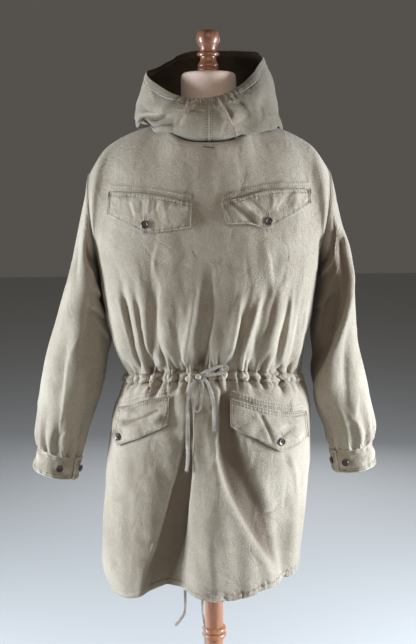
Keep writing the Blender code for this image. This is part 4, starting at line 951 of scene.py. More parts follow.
def sweepTube(line, width, depth, facing, sides, taper=None):
    # Rings of a flat tube along a line: width across, depth along facing.
    ahead = unit(np.gradient(line, axis=0))
    across = unit(np.cross(ahead, facing))
    out = np.cross(across, ahead)
    turn = np.linspace(0, 2 * math.pi, sides, endpoint=False)
    c = np.sign(np.cos(turn)) * np.abs(np.cos(turn))**0.75
    s = np.sign(np.sin(turn)) * np.abs(np.sin(turn))**0.75
    size = np.ones(len(line)) if taper is None else taper
    half = size[:, None, None] * width / 2
    deep = size[:, None, None] * depth / 2
    return line[:, None] + across[:, None] * c[None, :, None] * half + out[:, None] * s[None, :, None] * deep


def closeEnds(obj):
    # Caps the open ends of a swept tube.
    bm = bmesh.new()
    bm.from_mesh(obj.data)
    rim = [e for e in bm.edges if len(e.link_faces) == 1]
    bmesh.ops.holes_fill(bm, edges=rim, sides=0)
    bmesh.ops.recalc_face_normals(bm, faces=bm.faces)
    bm.to_mesh(obj.data)
    bm.free()


def tubeChart(line, sides, width):
    run = runAlong(line)
    u, v = np.meshgrid(np.linspace(0, 2 * width, sides + 1), run)
    return np.stack([u, v], -1)


def frayedEnd(name, line, width, seed):
    # Loose threads past a cut end.
    dice = np.random.default_rng(seed)
    tip, ahead = line[-1], unit(line[-1] - line[-3])
    across = unit(np.cross(ahead, [0.0, -1.0, 0.0]))
    parts = []
    for k in range(tapeMake["frayThreads"]):
        share = (k + 0.5) / tapeMake["frayThreads"] * 2 - 1
        reach = tapeMake["frayLength"] * dice.uniform(0.35, 1.0)
        spread = across * (share * width * 0.45)
        lean = across * share * dice.uniform(0.0, 0.35) * reach + np.array([0, dice.uniform(-0.10, 0.04), 0]) * reach
        t = np.linspace(0, 1, 5)[:, None]
        strand = tip - ahead * tapeMake["frayInside"] + spread + ahead * reach * t + lean * t**2
        thick = tapeMake["frayThick"]
        rings = sweepTube(strand, thick, thick, np.array([0.0, -1.0, 0.0]), 5, 1 - 0.6 * t[:, 0])
        parts.append(gridPiece(f"{name}Thread{k}", rings, lambda p: (0, 0, 0), ("tapeCotton",), closed=True,
                               chart=tubeChart(strand, 5, 0.0004)))
        closeEnds(parts[-1])
    return joinPieces(f"{name}Fray", parts)


def joinPieces(name, parts):
    # Several meshes made into one, the first one's materials kept.
    bm = bmesh.new()
    for part in parts:
        bm.from_mesh(part.data)
    mesh = parts[0].data
    bm.to_mesh(mesh)
    bm.free()
    for part in parts[1:]:
        old = part.data
        bpy.data.objects.remove(part)
        bpy.data.meshes.remove(old)
    parts[0].name = name
    mesh.name = name
    return parts[0]


def makeTapes():
    for i, (name, (width, depth, ending)) in enumerate(tapeShapes.items()):
        line = tapePath(name)
        run = runAlong(line)
        sway = np.radians(tapeMake["twist"]) * np.sin(run / run[-1] * 5 + i)
        facing = np.stack([np.sin(sway), -np.cos(sway), 0 * sway + 0.15], -1)
        rings = sweepTube(line, width, depth, facing, tapeMake["sides"],
                          1 - 0.10 * np.abs(waves(run, 0 * run, 0.02, 4, i)))
        finish = "tapeHood" if name.startswith("hood") else "tapeCotton"
        obj = gridPiece("tape_" + name, rings, lambda p: (0, 0, 0), (finish,), closed=True,
                        chart=tubeChart(line, tapeMake["sides"], width), sharp=50)
        closeEnds(obj)
        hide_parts(name)
        pieces = []
        if ending == "tipped":
            pieces = [frayedEnd("tape_" + name, line, width, 40 + i)]


makeTapes()


# The knot of the bow: a wrapped band over two crossing turns.
knotCut = {"place": (-0.0255, -0.1556, 1.0250), "size": (0.0150, 0.0110, 0.0140), "width": 0.0056, "depth": 0.0017}


def makeKnot():
    centre = np.array(knotCut["place"])
    half = np.array(knotCut["size"]) / 2 - knotCut["depth"] * 0.45
    turn = np.linspace(0, 2 * math.pi, 40, endpoint=False)
    parts = []
    for k, (lean, wide, puff) in enumerate(((0.15, 1.0, 1.0), (1.25, 0.85, 0.90), (-0.85, 0.85, 0.86))):
        flat = np.stack([np.cos(turn) * half[0] * 0.72, np.sin(turn) * half[1], 0.10 * half[2] * np.sin(2 * turn)], -1)
        c, s = math.cos(lean), math.sin(lean)
        loop = np.stack([flat[:, 0] * c - flat[:, 2] * s, flat[:, 1] * puff, flat[:, 0] * s + flat[:, 2] * c], -1)
        line = np.concatenate([loop, loop[:1]]) + centre
        out = unit(line - centre)
        rings = sweepTube(line, knotCut["width"] * wide, knotCut["depth"], out, 12)
        rings[-1] = rings[0]
        parts.append(gridPiece(f"knotTurn{k}", rings, lambda p: (0, 0, 0), ("tapeCotton",), closed=True,
                               chart=tubeChart(line, 12, knotCut["width"])))
    bm = bmesh.new()
    bmesh.ops.create_icosphere(bm, subdivisions=3, radius=1.0)
    bmesh.ops.scale(bm, vec=Vector(half * 0.80), verts=bm.verts)
    bmesh.ops.translate(bm, vec=Vector(centre), verts=bm.verts)
    parts.append(finishMesh("knotCore", bm, ("tapeCotton",)))
    knot = joinPieces("tapeKnot", parts)
    bm = bmesh.new()
    bm.from_mesh(knot.data)
    bmesh.ops.remove_doubles(bm, verts=bm.verts, dist=1e-6)
    bmesh.ops.recalc_face_normals(bm, faces=bm.faces)
    bm.to_mesh(knot.data)
    bm.free()
    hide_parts("waist_cord_knot")


makeKnot()
print("tapes and bow made")


# Pocket flaps: upper edge, lower edge, how far the two lower corners lift, and the button's place, in x and z.
flapCut = {
    "flap_chest_right": (
        ((-0.191, 1.3715), (-0.1045, 1.3660), (-0.0330, 1.3525)),
        ((-0.194, 1.3285), (-0.1570, 1.3120), (-0.1225, 1.2945), (-0.0500, 1.3040), (-0.0350, 1.3065)),
        (0.0010, 0.0015), (-0.1200, 1.3115)),
    "flap_chest_left": (
        ((0.0200, 1.3505), (0.1105, 1.3720), (0.1910, 1.3720)),
        ((0.0300, 1.3125), (0.0715, 1.3110), (0.1075, 1.3005), (0.1335, 1.3140), (0.1905, 1.3440)),
        (0.0075, 0.0010), (0.1075, 1.3155)),
    "flap_hip_right": (
        ((-0.1850, 0.9480), (-0.1385, 0.9720), (-0.0800, 0.9890)),
        ((-0.1975, 0.8900), (-0.1840, 0.8765), (-0.1540, 0.8950), (-0.1200, 0.9130), (-0.0820, 0.9350)),
        (0.0010, 0.0020), (-0.1835, 0.8955)),
    "flap_hip_left": (
        ((0.0340, 0.9850), (0.1060, 0.9600), (0.1860, 0.9380)),
        ((0.0355, 0.9310), (0.0870, 0.9030), (0.1300, 0.8740), (0.1560, 0.8740), (0.1900, 0.8860)),
        (0.0030, 0.0015), (0.1320, 0.8945)),
}


# The smock's body. Fine creases, in millimetres across and up: see creases().
panelMake = {
    "rows": 200, "columns": 200, "fine": 900, "turnLength": 0.0045, "wall": 0.0018, "calm": 0.60, "easeOver": 5.0,
    "fullness": 0.0055, "underTape": 0.0015, "tunnelHalf": 0.0085, "tunnelDrop": 0.001, "hemDepth": 0.0135,
    "stitchIn": (0.0020, 0.0080), "foldBoost": 0.60, "longWave": 0.0006, "crossWave": 0.00015, "hemRoll": 0.0012,
    "sidePull": 0.0002, "topPull": 0.0007, "wearShadeScale": 0.0042,
    "tunnelPuff": 0.0030, "tunnelRows": 0.0012, "tunnelRipple": 0.0008,
}
# The pocket tops behind the flaps: two rows above the flap's edge and a puckered band, in millimetres and metres.
pocketMake = {"rows": (5.0, 10.5), "groove": (0.0008, 0.0012), "middle": 8, "bandWidth": 0.0050, "puff": 0.0017,
              "pucker": 0.0007}
panelScatter = (  # seed, count, box, lean, depth, width, length: chest, above the waist, skirt, low skirt
    (301, 90, (-215, 215, 1210, 1470), (-55, 55), (0.0004, 0.0011), (0.0024, 0.0046), (30, 95)),
    (302, 70, (-200, 200, 1040, 1230), (-22, 22), (0.0005, 0.0014), (0.0024, 0.0050), (40, 110)),
    (303, 70, (-200, 200, 780, 975), (-40, 40), (0.0005, 0.0013), (0.0026, 0.0055), (35, 110)),
    (304, 80, (-220, 190, 575, 800), (-75, 75), (0.0004, 0.0012), (0.0026, 0.0055), (30, 100)),
)
frontCreases = (
    # narrow bright ridges between the long folds above the waist
    (0.0035, 0.0048, 2, (0.12, 0.30), (-133, 1008), (-149, 1062), (-178, 1190)),
    (0.0030, 0.0050, 2, (0.12, 0.30), (-122, 1008), (-136, 1090), (-150, 1200)),
    (0.0032, 0.0060, 2, (0.12, 0.35), (-101, 1029), (-96, 1100), (-92, 1215)),
    (0.0030, 0.0055, 2, (0.12, 0.35), (-57, 1033), (-46, 1086), (-27, 1200)),
    (0.0034, 0.0060, 2, (0.12, 0.35), (30, 1040), (38, 1099), (60, 1205)),
    (0.0030, 0.0050, 2, (0.12, 0.35), (52, 1022), (60, 1070), (100, 1200)),
    (0.0030, 0.0050, 2, (0.12, 0.30), (129, 1018), (144, 1103), (156, 1200)),
    (0.0028, 0.0045, 2, (0.12, 0.30), (160, 1012), (172, 1080), (184, 1150)),
    # deep troughs sharpened
    (-0.0034, 0.0050, 2, (0.05, 0.70), (-113, 1022), (-113, 1136), (-106, 1260)),
    (-0.0036, 0.0050, 2, (0.05, 0.70), (-24, 1033), (-14, 1076), (-2, 1125), (4, 1270)),
    (-0.0028, 0.0045, 2, (0.05, 0.70), (-138, 1018), (-155, 1105), (-174, 1240)),
    (-0.0026, 0.0045, 2, (0.05, 0.70), (44, 1032), (57, 1124), (84, 1240)),
    (-0.0028, 0.0045, 2, (0.05, 0.70), (79, 1021), (89, 1067), (109, 1122), (134, 1240)),
    (-0.0026, 0.0045, 2, (0.05, 0.70), (149, 1008), (162, 1101), (182, 1220)),
    # broad soft ridges up to the chest
    (0.0024, 0.0100, 2, (0.15, 0.60), (20, 1040), (44, 1110), (70, 1190), (84, 1270)),
    (0.0020, 0.0090, 2, (0.15, 0.60), (104, 1040), (124, 1130), (140, 1230)),
    (0.0020, 0.0090, 2, (0.15, 0.60), (-60, 1040), (-56, 1130), (-50, 1230)),
    (0.0020, 0.0090, 2, (0.15, 0.60), (-128, 1050), (-148, 1150), (-158, 1260)),
    # skirt
    (0.0028, 0.0090, 2, (0.10, 0.35), (-28, 985), (-32, 880), (-38, 775), (-40, 684)),
    (0.0024, 0.0090, 2, (0.10, 0.35), (0, 975), (-2, 880), (12, 800), (34, 740)),
    (-0.0025, 0.0100, 2, (0.20, 0.30), (-150, 880), (-165, 760), (-170, 640)),
    (0.0022, 0.0090, 2, (0.20, 0.30), (150, 880), (160, 760), (158, 640)),
    # shoulders, radiating from the neck
    (-0.0010, 0.0050, 2, (0.05, 0.50), (-108, 1478), (-128, 1440), (-142, 1395)),
    (0.0009, 0.0040, 2, (0.05, 0.50), (-95, 1480), (-104, 1440), (-108, 1400)),
    (0.0009, 0.0040, 2, (0.05, 0.50), (90, 1482), (112, 1448), (130, 1400)),
    (-0.0010, 0.0050, 2, (0.05, 0.50), (76, 1478), (84, 1440), (96, 1395)),
    (0.0009, 0.0045, 2, (0.05, 0.50), (100, 1480), (122, 1440), (140, 1390)),
    (-0.0010, 0.0045, 2, (0.10, 0.50), (58, 1468), (52, 1430), (60, 1390)),
    (-0.0014, 0.0055, 2, (0.10, 0.40), (-184, 1449), (-198, 1422), (-212, 1361), (-216, 1318)),
    (-0.0014, 0.0055, 2, (0.10, 0.40), (199, 1447), (194, 1400), (196, 1350)),
    (0.0010, 0.0060, 2, (0.15, 0.50), (150, 1462), (166, 1420), (172, 1380)),
    (-0.0010, 0.0060, 2, (0.20, 0.40), (-30, 1452), (-60, 1420), (-95, 1390)),
)
# Pleats of the skirt: height, its left and right border, how soft these are, depth; all in millimetres.
pleatShade = 40.0  # how much darker the painted shade gets for a metre of a pleat's depth
frontPleats = (
    ((585, -140, -84, 24, 20, 13), (635, -127, -72, 20, 16, 14), (703, -104, -58, 15, 13, 14),
     (764, -87, -49, 11, 11, 13), (825, -71, -42, 8, 9, 12), (884, -58, -37, 7, 7, 10), (934, -50, -36, 5, 6, 7),
     (975, -48, -37, 5, 6, 3), (1000, -47, -38, 5, 6, 0)),
    ((625, 118, 128, 12, 8, 0), (650, 108, 123, 18, 9, 4), (680, 94, 117, 22, 12, 7), (719, 72, 109, 24, 20, 9),
     (767, 47, 98, 22, 34, 11), (827, 22, 72, 17, 38, 12), (887, 10, 52, 12, 30, 13), (930, 12, 42, 9, 18, 13),
     (985, 14, 36, 6, 10, 11), (1010, 15, 34, 6, 8, 0)),
)
backPleats = (
    ((585, 30, 78, 20, 20, 12), (700, 44, 84, 14, 14, 12), (840, 62, 90, 9, 10, 10), (930, 74, 92, 6, 8, 6),
     (1000, 78, 92, 6, 8, 0)),
    ((640, -66, -30, 20, 20, 0), (700, -66, -30, 18, 18, 8), (840, -70, -44, 12, 10, 9), (930, -72, -54, 8, 6, 8),
     (1000, -72, -60, 6, 6, 0)),
)
frontLedges = (
    (0.0018, 0.0045, 2, (0.35, 0.40), (96, 752), (112, 758), (129, 766)),
    (0.0026, 0.0070, 2, (0.25, 0.45), (-190, 900), (-196, 840), (-190, 760)),
    (0.0022, 0.0070, 2, (0.25, 0.45), (140, 880), (158, 820), (164, 740)),
    (0.0014, 0.0060, 2, (0.25, 0.50), (70, 1415), (62, 1380), (66, 1330)),
    (0.0014, 0.0065, 2, (0.25, 0.50), (-96, 1290), (-108, 1240), (-112, 1180)),
    (0.0014, 0.0065, 2, (0.25, 0.50), (118, 1180), (112, 1240), (98, 1292)),
)
backLedges = (
    (0.0040, 0.0070, 2, (0.12, 0.25), (124, 930), (142, 820), (150, 700)),
    (0.0030, 0.0065, 2, (0.15, 0.40), (-100, 1250), (-112, 1200), (-116, 1140)),
    (0.0030, 0.0065, 2, (0.15, 0.40), (96, 1150), (90, 1210), (74, 1270)),
)
backCreases = (
    (0.0032, 0.0055, 2, (0.12, 0.35), (-126, 1000), (-142, 1090), (-158, 1210)),
    (0.0030, 0.0055, 2, (0.12, 0.35), (-78, 1000), (-84, 1090), (-88, 1220)),
    (0.0030, 0.0055, 2, (0.12, 0.35), (-34, 1000), (-30, 1090), (-26, 1230)),
    (0.0030, 0.0055, 2, (0.12, 0.35), (12, 1000), (16, 1090), (18, 1220)),
    (0.0030, 0.0055, 2, (0.12, 0.35), (58, 1000), (62, 1090), (66, 1230)),
    (0.0032, 0.0055, 2, (0.12, 0.35), (108, 1000), (118, 1090), (134, 1210)),
    (-0.0045, 0.0055, 2, (0.05, 0.45), (-55, 1000), (-52, 1120), (-50, 1240)),
    (-0.0045, 0.0055, 2, (0.05, 0.45), (34, 1000), (36, 1110), (38, 1220)),
    (-0.0030, 0.0110, 2, (0.10, 0.30), (-130, 960), (-150, 820), (-156, 660)),
    (0.0026, 0.0090, 2, (0.10, 0.30), (130, 950), (148, 800), (150, 640)),
    (-0.0022, 0.0070, 2, (0.10, 0.45), (-60, 1485), (-96, 1440), (-120, 1380)),
    (-0.0022, 0.0070, 2, (0.10, 0.45), (64, 1485), (100, 1440), (126, 1380)),
    (-0.0018, 0.0070, 2, (0.10, 0.45), (10, 1480), (16, 1430), (10, 1370)),
)


def gatherShift(angle, up, places, seed):
    # Pinches of the waist tunnel: sharp inside it, opening into short folds above and below.
    dice = np.random.default_rng(seed)
    half = panelMake["tunnelHalf"]
    middle = [(a + b) / 2 + dice.uniform(-1.4, 1.4) for a, b in zip(places, places[1:])]
    shift = np.zeros(angle.shape)
    for i, place in enumerate(sorted([*places, *middle])):
        main = place in places
        depth = dice.uniform(0.0042, 0.0074) if main else dice.uniform(0.0022, 0.0050)
        wide = dice.uniform(0.50, 0.95)
        rise, drop = dice.uniform(0.028, 0.085), dice.uniform(0.018, 0.050)
        leanUp, leanDown = dice.uniform(-60, 60), dice.uniform(-105, 105)
        above = np.clip(up - half * 0.3, 0, None)
        below = np.clip(-up - half * 0.3, 0, None)
        jog = dice.uniform(0.5, 1.3) * np.sin(up * 430 + 2.3 * i) * np.exp(-(up / 0.016)**2)
        centre = place + leanUp * above + leanDown * below + jog
        spread = wide * (1 + above * 24 + below * 42)
        fade = (1 - step(0.1 * rise, rise, above)) * (1 - step(0.1 * drop, drop, below))
        shift -= depth * fade * np.exp(-(np.abs(angle - centre) / spread)**1.5)
    puff = panelMake["tunnelPuff"] * np.exp(-(up / (half * 0.80))**4)
    rows = -panelMake["tunnelRows"] * (np.exp(-((up - half) / 0.0014)**2) + np.exp(-((up + half) / 0.0014)**2))
    ripple = panelMake["tunnelRipple"] * np.sin(np.radians(angle) * 0.17 / 0.0032 + 2.2 * np.sin(angle * 0.31))
    ripple = ripple * np.exp(-(up / 0.013)**2)
    return shift + puff + rows + ripple


def pleatDepth(x, z, pleats):
    depth = np.zeros(x.shape)
    for rows in pleats:
        levels, *columns = np.array(rows, float).T / 1000
        left, right, softLeft, softRight, deep = (curve(levels, column, z) for column in columns)
        inner = step(-0.5, 0.5, (x - left) / softLeft) * (1 - step(-0.5, 0.5, (x - right) / softRight))
        depth += deep * inner * ((z > levels[0]) & (z < levels[-1]) | (z < 0.63) & (deep > 0.009))
    return depth


def hemGathers(own, down, seed):
    # Puckers of the drawn hem, strongest on the wearer's left of the front.
    dice = np.random.default_rng(seed)
    shift = np.zeros(own.shape)
    place = -86.0
    while place < 86:
        strong = 0.30 + 0.70 * float(step(-16, 14, place)) * float(1 - step(66, 84, place))
        depth, wide = strong * dice.uniform(0.0014, 0.0034), dice.uniform(0.55, 0.95)
        rise, lean = dice.uniform(0.016, 0.044), dice.uniform(-70, 70)
        far = own - place - lean * down - 0.35 * np.sin(down * 500 + place)
        shift -= depth * (1 - step(0.25 * rise, rise, down)) * np.exp(-(far / wide)**2)
        place += dice.uniform(1.5, 3.2)
    return shift


def panelRises(count):
    # Rows from hem to top, closer together at the hem, the tunnel and the shoulder.
    fine = np.linspace(0, 2, 4000)
    density = 1 + 2.6 * np.exp(-((fine - 0.645) / 0.06)**2) + 2.2 * np.exp(-(fine / 0.045)**2)
    density = np.where(fine > 1, density * 0.78, density)
    total = np.cumsum(density)
    total = (total - total[0]) / (total[-1] - total[0])
    return np.interp(np.linspace(0, 1, count), total, fine)


def seamGroove(far, places, depth=0.0007, width=0.0011):
    return sum(-depth * np.exp(-((far - p) / width)**2) for p in places)


def eased(base, fine, v):
    # Rounds the line that would run down from the neck's corner.
    near = np.exp(-((fine[:, None] - fine[None]) / panelMake["easeOver"])**2)
    smooth = np.einsum("rcx,cd->rdx", base, near / near.sum(0))
    share = np.exp(-((np.abs(fine) - bodyCut["neckAngle"]) / (2.2 * panelMake["easeOver"]))**4)
    share = share * step(1.0, 1.2, v) * (1 - step(1.70, 1.88, v))
    return base + (smooth - base) * share[..., None]


def sinkUnder(made):
    # Keeps the front just under the tapes that lie on it.
    for name in ("waist_cord_end_left", "waist_cord_end_right", "waist_cord_loop_left", "waist_cord_loop_right"):
        line, (width, depth, _) = tapePath(name), tapeShapes[name]
        x, z = made[..., 0], made[..., 2]
        near = (np.abs(x - line[:, 0].mean()) < 0.06) & (z > line[:, 2].min() - 0.01) & (z < line[:, 2].max() + 0.01)
        far = np.hypot(x[near][:, None] - line[:, 0], z[near][:, None] - line[:, 2])
        nearest = far.argmin(1)
        needed = line[nearest, 1] + depth / 2 + panelMake["wall"] / 2 + panelMake["underTape"]
        under = 1 - step(width / 2 + 0.001, width / 2 + 0.009, far.min(1))
        push = np.clip(needed - made[near][:, 1], 0, 0.008) * under
        made[near] += push[:, None] * (0, 1, 0)


def clearOf(made, tree, gap, near):
    # Moves the near points out of the tree's surface, to the gap from it.
    push = np.zeros(made.shape)
    for i, j in np.argwhere(near):
        place, face, _, _ = tree.find_nearest(Vector(made[i, j]))
        short = gap - (Vector(made[i, j]) - place).dot(face)
        if short > 0:
            push[i, j] = np.array(face) * min(short, 0.006)
    spread = np.stack([soften(push[..., k], 5) for k in range(3)], -1)
    more = np.linalg.norm(spread, axis=-1) > np.linalg.norm(push, axis=-1)
    made += np.where(more[..., None], spread, push)


def makePanel(name, isFront):
    turned = 0 if isFront else 180
    fine = np.linspace(-90, 90, panelMake["fine"]) * (1 if isFront else 1 - 1e-9)
    rises = panelRises(panelMake["rows"])
    own, v = np.meshgrid(fine, rises)
    angle = wrap(own + turned)
    base = eased(bodyPoint(angle, v), fine, v)
    x, z = base[..., 0], base[..., 2]
    inside = 1 - step(82, 90, np.abs(own))
    ends = 1 - step(1.94, 2.0, v)
    tunnel = z - waistZ(angle) + panelMake["tunnelDrop"]
    rows = frontCreases if isFront else backCreases
    shift = creases(x, z, rows) * (1 + panelMake["foldBoost"] * step(0.985, 1.01, z) * (1 - step(1.16, 1.24, z)))
    for strewn in panelScatter:
        shift += creases(x, z, scatter(strewn[0] + (0 if isFront else 100), *strewn[1:]))
    places = frontGathers if isFront else [-p for p in backGathers]
    shift += gatherShift(own, tunnel, list(places), 5 if isFront else 6)
    long = waves(x * 1.6, z * 0.55, 0.075, 9, 11 if isFront else 12)
    cross = waves(x, z, 0.055, 9, 21 if isFront else 22)
    high = step(1.25, 1.34, z)
    shift += panelMake["longWave"] * long * (1 - high) + panelMake["crossWave"] * cross
    shift += creases(x, z, frontLedges if isFront else backLedges, ledge=True)
    shift *= 1 - panelMake["calm"] * high
    trough = foldShift(angle, z)
    pleat = pleatDepth(x, z, frontPleats if isFront else backPleats)
    shift -= pleat
    far = alongRows(base)
    edgeFar = np.minimum(far, far[:, -1:] - far)
    shift *= inside * ends
    hemFar = downColumns(base)
    topFar = hemFar[-1] - hemFar
    hemIn = panelMake["hemDepth"]
    shift += seamGroove(hemFar, (hemIn,), 0.0012, 0.0016) + hemGathers(own, hemFar, 7 if isFront else 8)
    shift += panelMake["hemRoll"] * np.exp(-((hemFar - hemIn * 0.5) / 0.0055)**2)
    armhole = (v > 1.0) * 1.0
    shift += armhole * seamGroove(edgeFar, panelMake["stitchIn"])
    shoulder = (np.abs(own) > bodyCut["neckAngle"]) * 1.0
    shift += shoulder * seamGroove(topFar, panelMake["stitchIn"])
    if not isFront:
        shift += (1 - armhole) * seamGroove(edgeFar, panelMake["stitchIn"])
    if isFront:
        for cut in flapCut.values():
            line = [(px * 1000, pz * 1000) for px, pz in cut[0]]
            for rise in pocketMake["rows"]:
                raised = [(a, b + rise) for a, b in line]
                shift += creases(x, z, ((-pocketMake["groove"][0], pocketMake["groove"][1], 2, (0.02, 0.02), *raised),))
            raised = [(a, b + pocketMake["middle"]) for a, b in line]
            band = creases(x, z, ((1.0, pocketMake["bandWidth"], 6, (0.02, 0.02), *raised),))
            pucker = np.sin(x / 0.0009 + 2.6 * np.sin(x / 0.017))
            shift += band * (pocketMake["puff"] + pocketMake["pucker"] * pucker)
    normal = outward(normals(base), base - [0, 0, 1.0])
    made = base + normal * shift[..., None]
    # fuller above the waist at the wearer's right side
    made[..., 0] -= panelMake["fullness"] * np.exp(-((z - 1.143) / 0.058)**4) * step(48, 88, np.abs(own)) * (x < 0)
    if isFront:
        sinkUnder(made)
    keep = ridgeWearFoldShade(shift, 8, panelMake["wearShadeScale"])
    if isFront:  # painted shade on two parts of the skirt
        keep -= 0.10 * np.exp(-((x - 0.120) / 0.045)**2 - ((z - 0.76) / 0.10)**2)
        keep -= 0.22 * np.exp(-((x + 0.150) / 0.045)**2) * (1 - step(0.88, 0.97, z))
    keep += 0.30 * np.exp(-(hemFar / 0.0016)**2) + 0.12 * np.exp(-((hemFar - hemIn) / 0.002)**2)
    # painted shade in the troughs of the long folds, lighter on their ridges; then painted shade in the pleats
    keep += np.clip((trough - soften(trough, 14)) / 0.010, -0.55, 0.30)
    keep -= pleat * pleatShade
    chart = np.stack([far, hemFar], -1)
    made, keep, chart, own = crowd(made, panelMake["columns"], panelMake["turnLength"], keep, chart, own)
    for col, gap in ((0, 1), (-1, -2)):
        made[:, col] += unit(made[:, gap] - made[:, col]) * panelMake["sidePull"]
    made[-1] += unit(made[-2] - made[-1]) * panelMake["topPull"]
    obj = gridPiece(name, made, lambda p: p - Vector((0, 0, 1.0)), ("smockCloth", "smockInsideShaded"),
                    chart=chart, wear=keep, thick=panelMake["wall"])
    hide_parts("front" if isFront else "back")
    face = outward(normals(made), made - [0, 0, 1.0])
    return {"obj": obj, "points": made, "face": face, "own": own, "rises": rises}


frontPanel = makePanel("smockFront", True)
backPanel = makePanel("smockBack", False)
print("front and back made")


sleeveCut = {
    "pleats": 12, "pleatDepth": 0.0045, "pleatReach": 3.6, "pleatPress": 0.72, "slant": 0.018,
}
sleeveColumns = ("x_out", "z_out", "x_in", "z_in", "y", "half", "square")
sleeveRight = (
    (0.2365, 1.4010, 0.2218, 1.2350, 0.000, 0.074, 2.0),
    (0.2480, 1.3480, 0.2300, 1.2160, 0.000, 0.078, 2.1),
    (0.2600, 1.2950, 0.2300, 1.1960, 0.002, 0.083, 2.2),
    (0.2720, 1.2400, 0.2260, 1.1720, 0.004, 0.086, 2.3),
    (0.2860, 1.1930, 0.2220, 1.1400, 0.004, 0.086, 2.3),
    (0.3060, 1.1330, 0.2170, 1.0980, 0.003, 0.082, 2.2),
    (0.3260, 1.0700, 0.2120, 1.0480, 0.001, 0.077, 2.2),
    (0.3430, 1.0060, 0.2180, 0.9900, -0.001, 0.072, 2.1),
    (0.3550, 0.9420, 0.2370, 0.9300, -0.003, 0.068, 2.1),
    (0.3620, 0.8860, 0.2590, 0.8740, -0.005, 0.059, 2.1),
    (0.3600, 0.8560, 0.2720, 0.8340, -0.006, 0.046, 2.1),
    (0.3585, 0.8475, 0.2745, 0.8250, -0.006, 0.042, 2.1),
)
sleeveLeft = (
    (0.2365, 1.4010, 0.2142, 1.2350, 0.000, 0.074, 2.0),
    (0.2490, 1.3480, 0.2260, 1.2140, 0.000, 0.078, 2.1),
    (0.2590, 1.2960, 0.2270, 1.1950, 0.002, 0.083, 2.2),
    (0.2720, 1.2400, 0.2240, 1.1700, 0.004, 0.086, 2.3),
    (0.2820, 1.1900, 0.2190, 1.1400, 0.004, 0.086, 2.3),
    (0.2890, 1.1300, 0.2130, 1.0980, 0.003, 0.082, 2.2),
    (0.2960, 1.0680, 0.2050, 1.0450, 0.001, 0.077, 2.2),
    (0.3100, 1.0060, 0.1990, 0.9900, -0.001, 0.073, 2.1),
    (0.3240, 0.9440, 0.2140, 0.9280, -0.003, 0.068, 2.1),
    (0.3330, 0.8880, 0.2360, 0.8740, -0.005, 0.059, 2.1),
    (0.3310, 0.8620, 0.2450, 0.8440, -0.006, 0.046, 2.1),
    (0.3295, 0.8500, 0.2475, 0.8350, -0.006, 0.042, 2.1),
)
sleeveFolds = (
    (3.6, 305, 0.012, 1.3, 16), (5.2, 280, 0.010, 1.0, 17), (4.6, 340, 0.007, 1.4, 14),
    (6.4, 250, 0.008, 1.0, 16), (7.6, 300, 0.006, 1.1, 15), (2.2, 60, 0.007, 1.0, 18),
    (4.9, 120, 0.008, 1.2, 18), (6.8, 80, 0.007, 1.1, 16),
)


def sleevePoint(side, angle, place):
    # A sleeve's surface: angle 0 on its outer edge, 90 in front, 180 inside; place counts rings down
    t = table(sleeveLeft if side > 0 else sleeveRight, sleeveColumns)
    rings = np.arange(len(t["y"]))
    low = ring(bodyRings, side * 90.0, bodyCut["armpit"], bodyCut["armpit"])
    t["x_in"][0] = abs(low[0])
    t["x_out"][0], t["z_out"][0] = bodyCut["shoulderEnd"]
    t["z_in"][0] = bodyCut["armpit"]
    size = {name: curve(rings, t[name], place) for name in sleeveColumns}
    c = np.cos(np.radians(angle))
    s = np.sin(np.radians(angle))
    n = size["square"]
    r = (np.abs(c)**n + np.abs(s)**n)**(-1 / n)
    last = len(rings) - 1
    halfX = (size["x_out"] - size["x_in"]) / 2
    halfZ = (size["z_out"] - size["z_in"]) / 2
    half = np.hypot(halfX, halfZ)
    pressed = 1 - sleeveCut["pleatPress"] * step(last - 1, last, place)
    pleated = step(last - sleeveCut["pleatReach"], last - 1, place) * pressed
    shift = -sleeveCut["pleatDepth"] * np.cos(np.radians(sleeveCut["pleats"] * angle)) * pleated
    for atPlace, atAngle, depth, long, wide in sleeveFolds:
        turn = halfTurn(angle - atAngle)
        along = place - atPlace - turn * sleeveCut["slant"]
        shift = shift - depth * np.exp(-(along / long)**2 - (turn / wide)**2)
    shift = shift * step(0, 1, place) / half
    c = c * (r + shift)
    s = s * (r + shift)
    x = (size["x_out"] + size["x_in"]) / 2 + halfX * c
    z = (size["z_out"] + size["z_in"]) / 2 + halfZ * c
    return np.stack([side * x, size["y"] - size["half"] * s, z], -1)


def sleeveEnd(side):
    # The middle of a sleeve's last ring, its outward and downward directions, half-width and half-depth
    t = table(sleeveLeft if side > 0 else sleeveRight, sleeveColumns)
    out = np.array([side * t["x_out"][-1], t["y"][-1], t["z_out"][-1]])
    inner = np.array([side * t["x_in"][-1], t["y"][-1], t["z_in"][-1]])
    across = out - inner
    down = unit(np.array([side * across[2], 0.0, -abs(across[0])]))
    return (out + inner) / 2, unit(across), down, np.linalg.norm(across) / 2, t["half"][-1]


# Sleeves: gathered into the cuffs, creased at the armpit and the elbow. Lean: how far and how near the upper sleeve is
# drawn to the body, and between which rings that ends.
sleeveMake = {
    "rings": 150, "fine": 520, "columns": 176, "turnLength": 0.0040, "wall": 0.0018, "stitchIn": 0.0045,
    "shoulderLift": 0.0014, "pleatRise": 2.2, "crest": 0.0120, "hollow": 0.0080, "lean": (0.014, 0.0026, 5.2, 6.4),
    "gathers": 30, "seamAngle": 182, "longWave": 0.0006, "sewnAt": 0.0076,
}
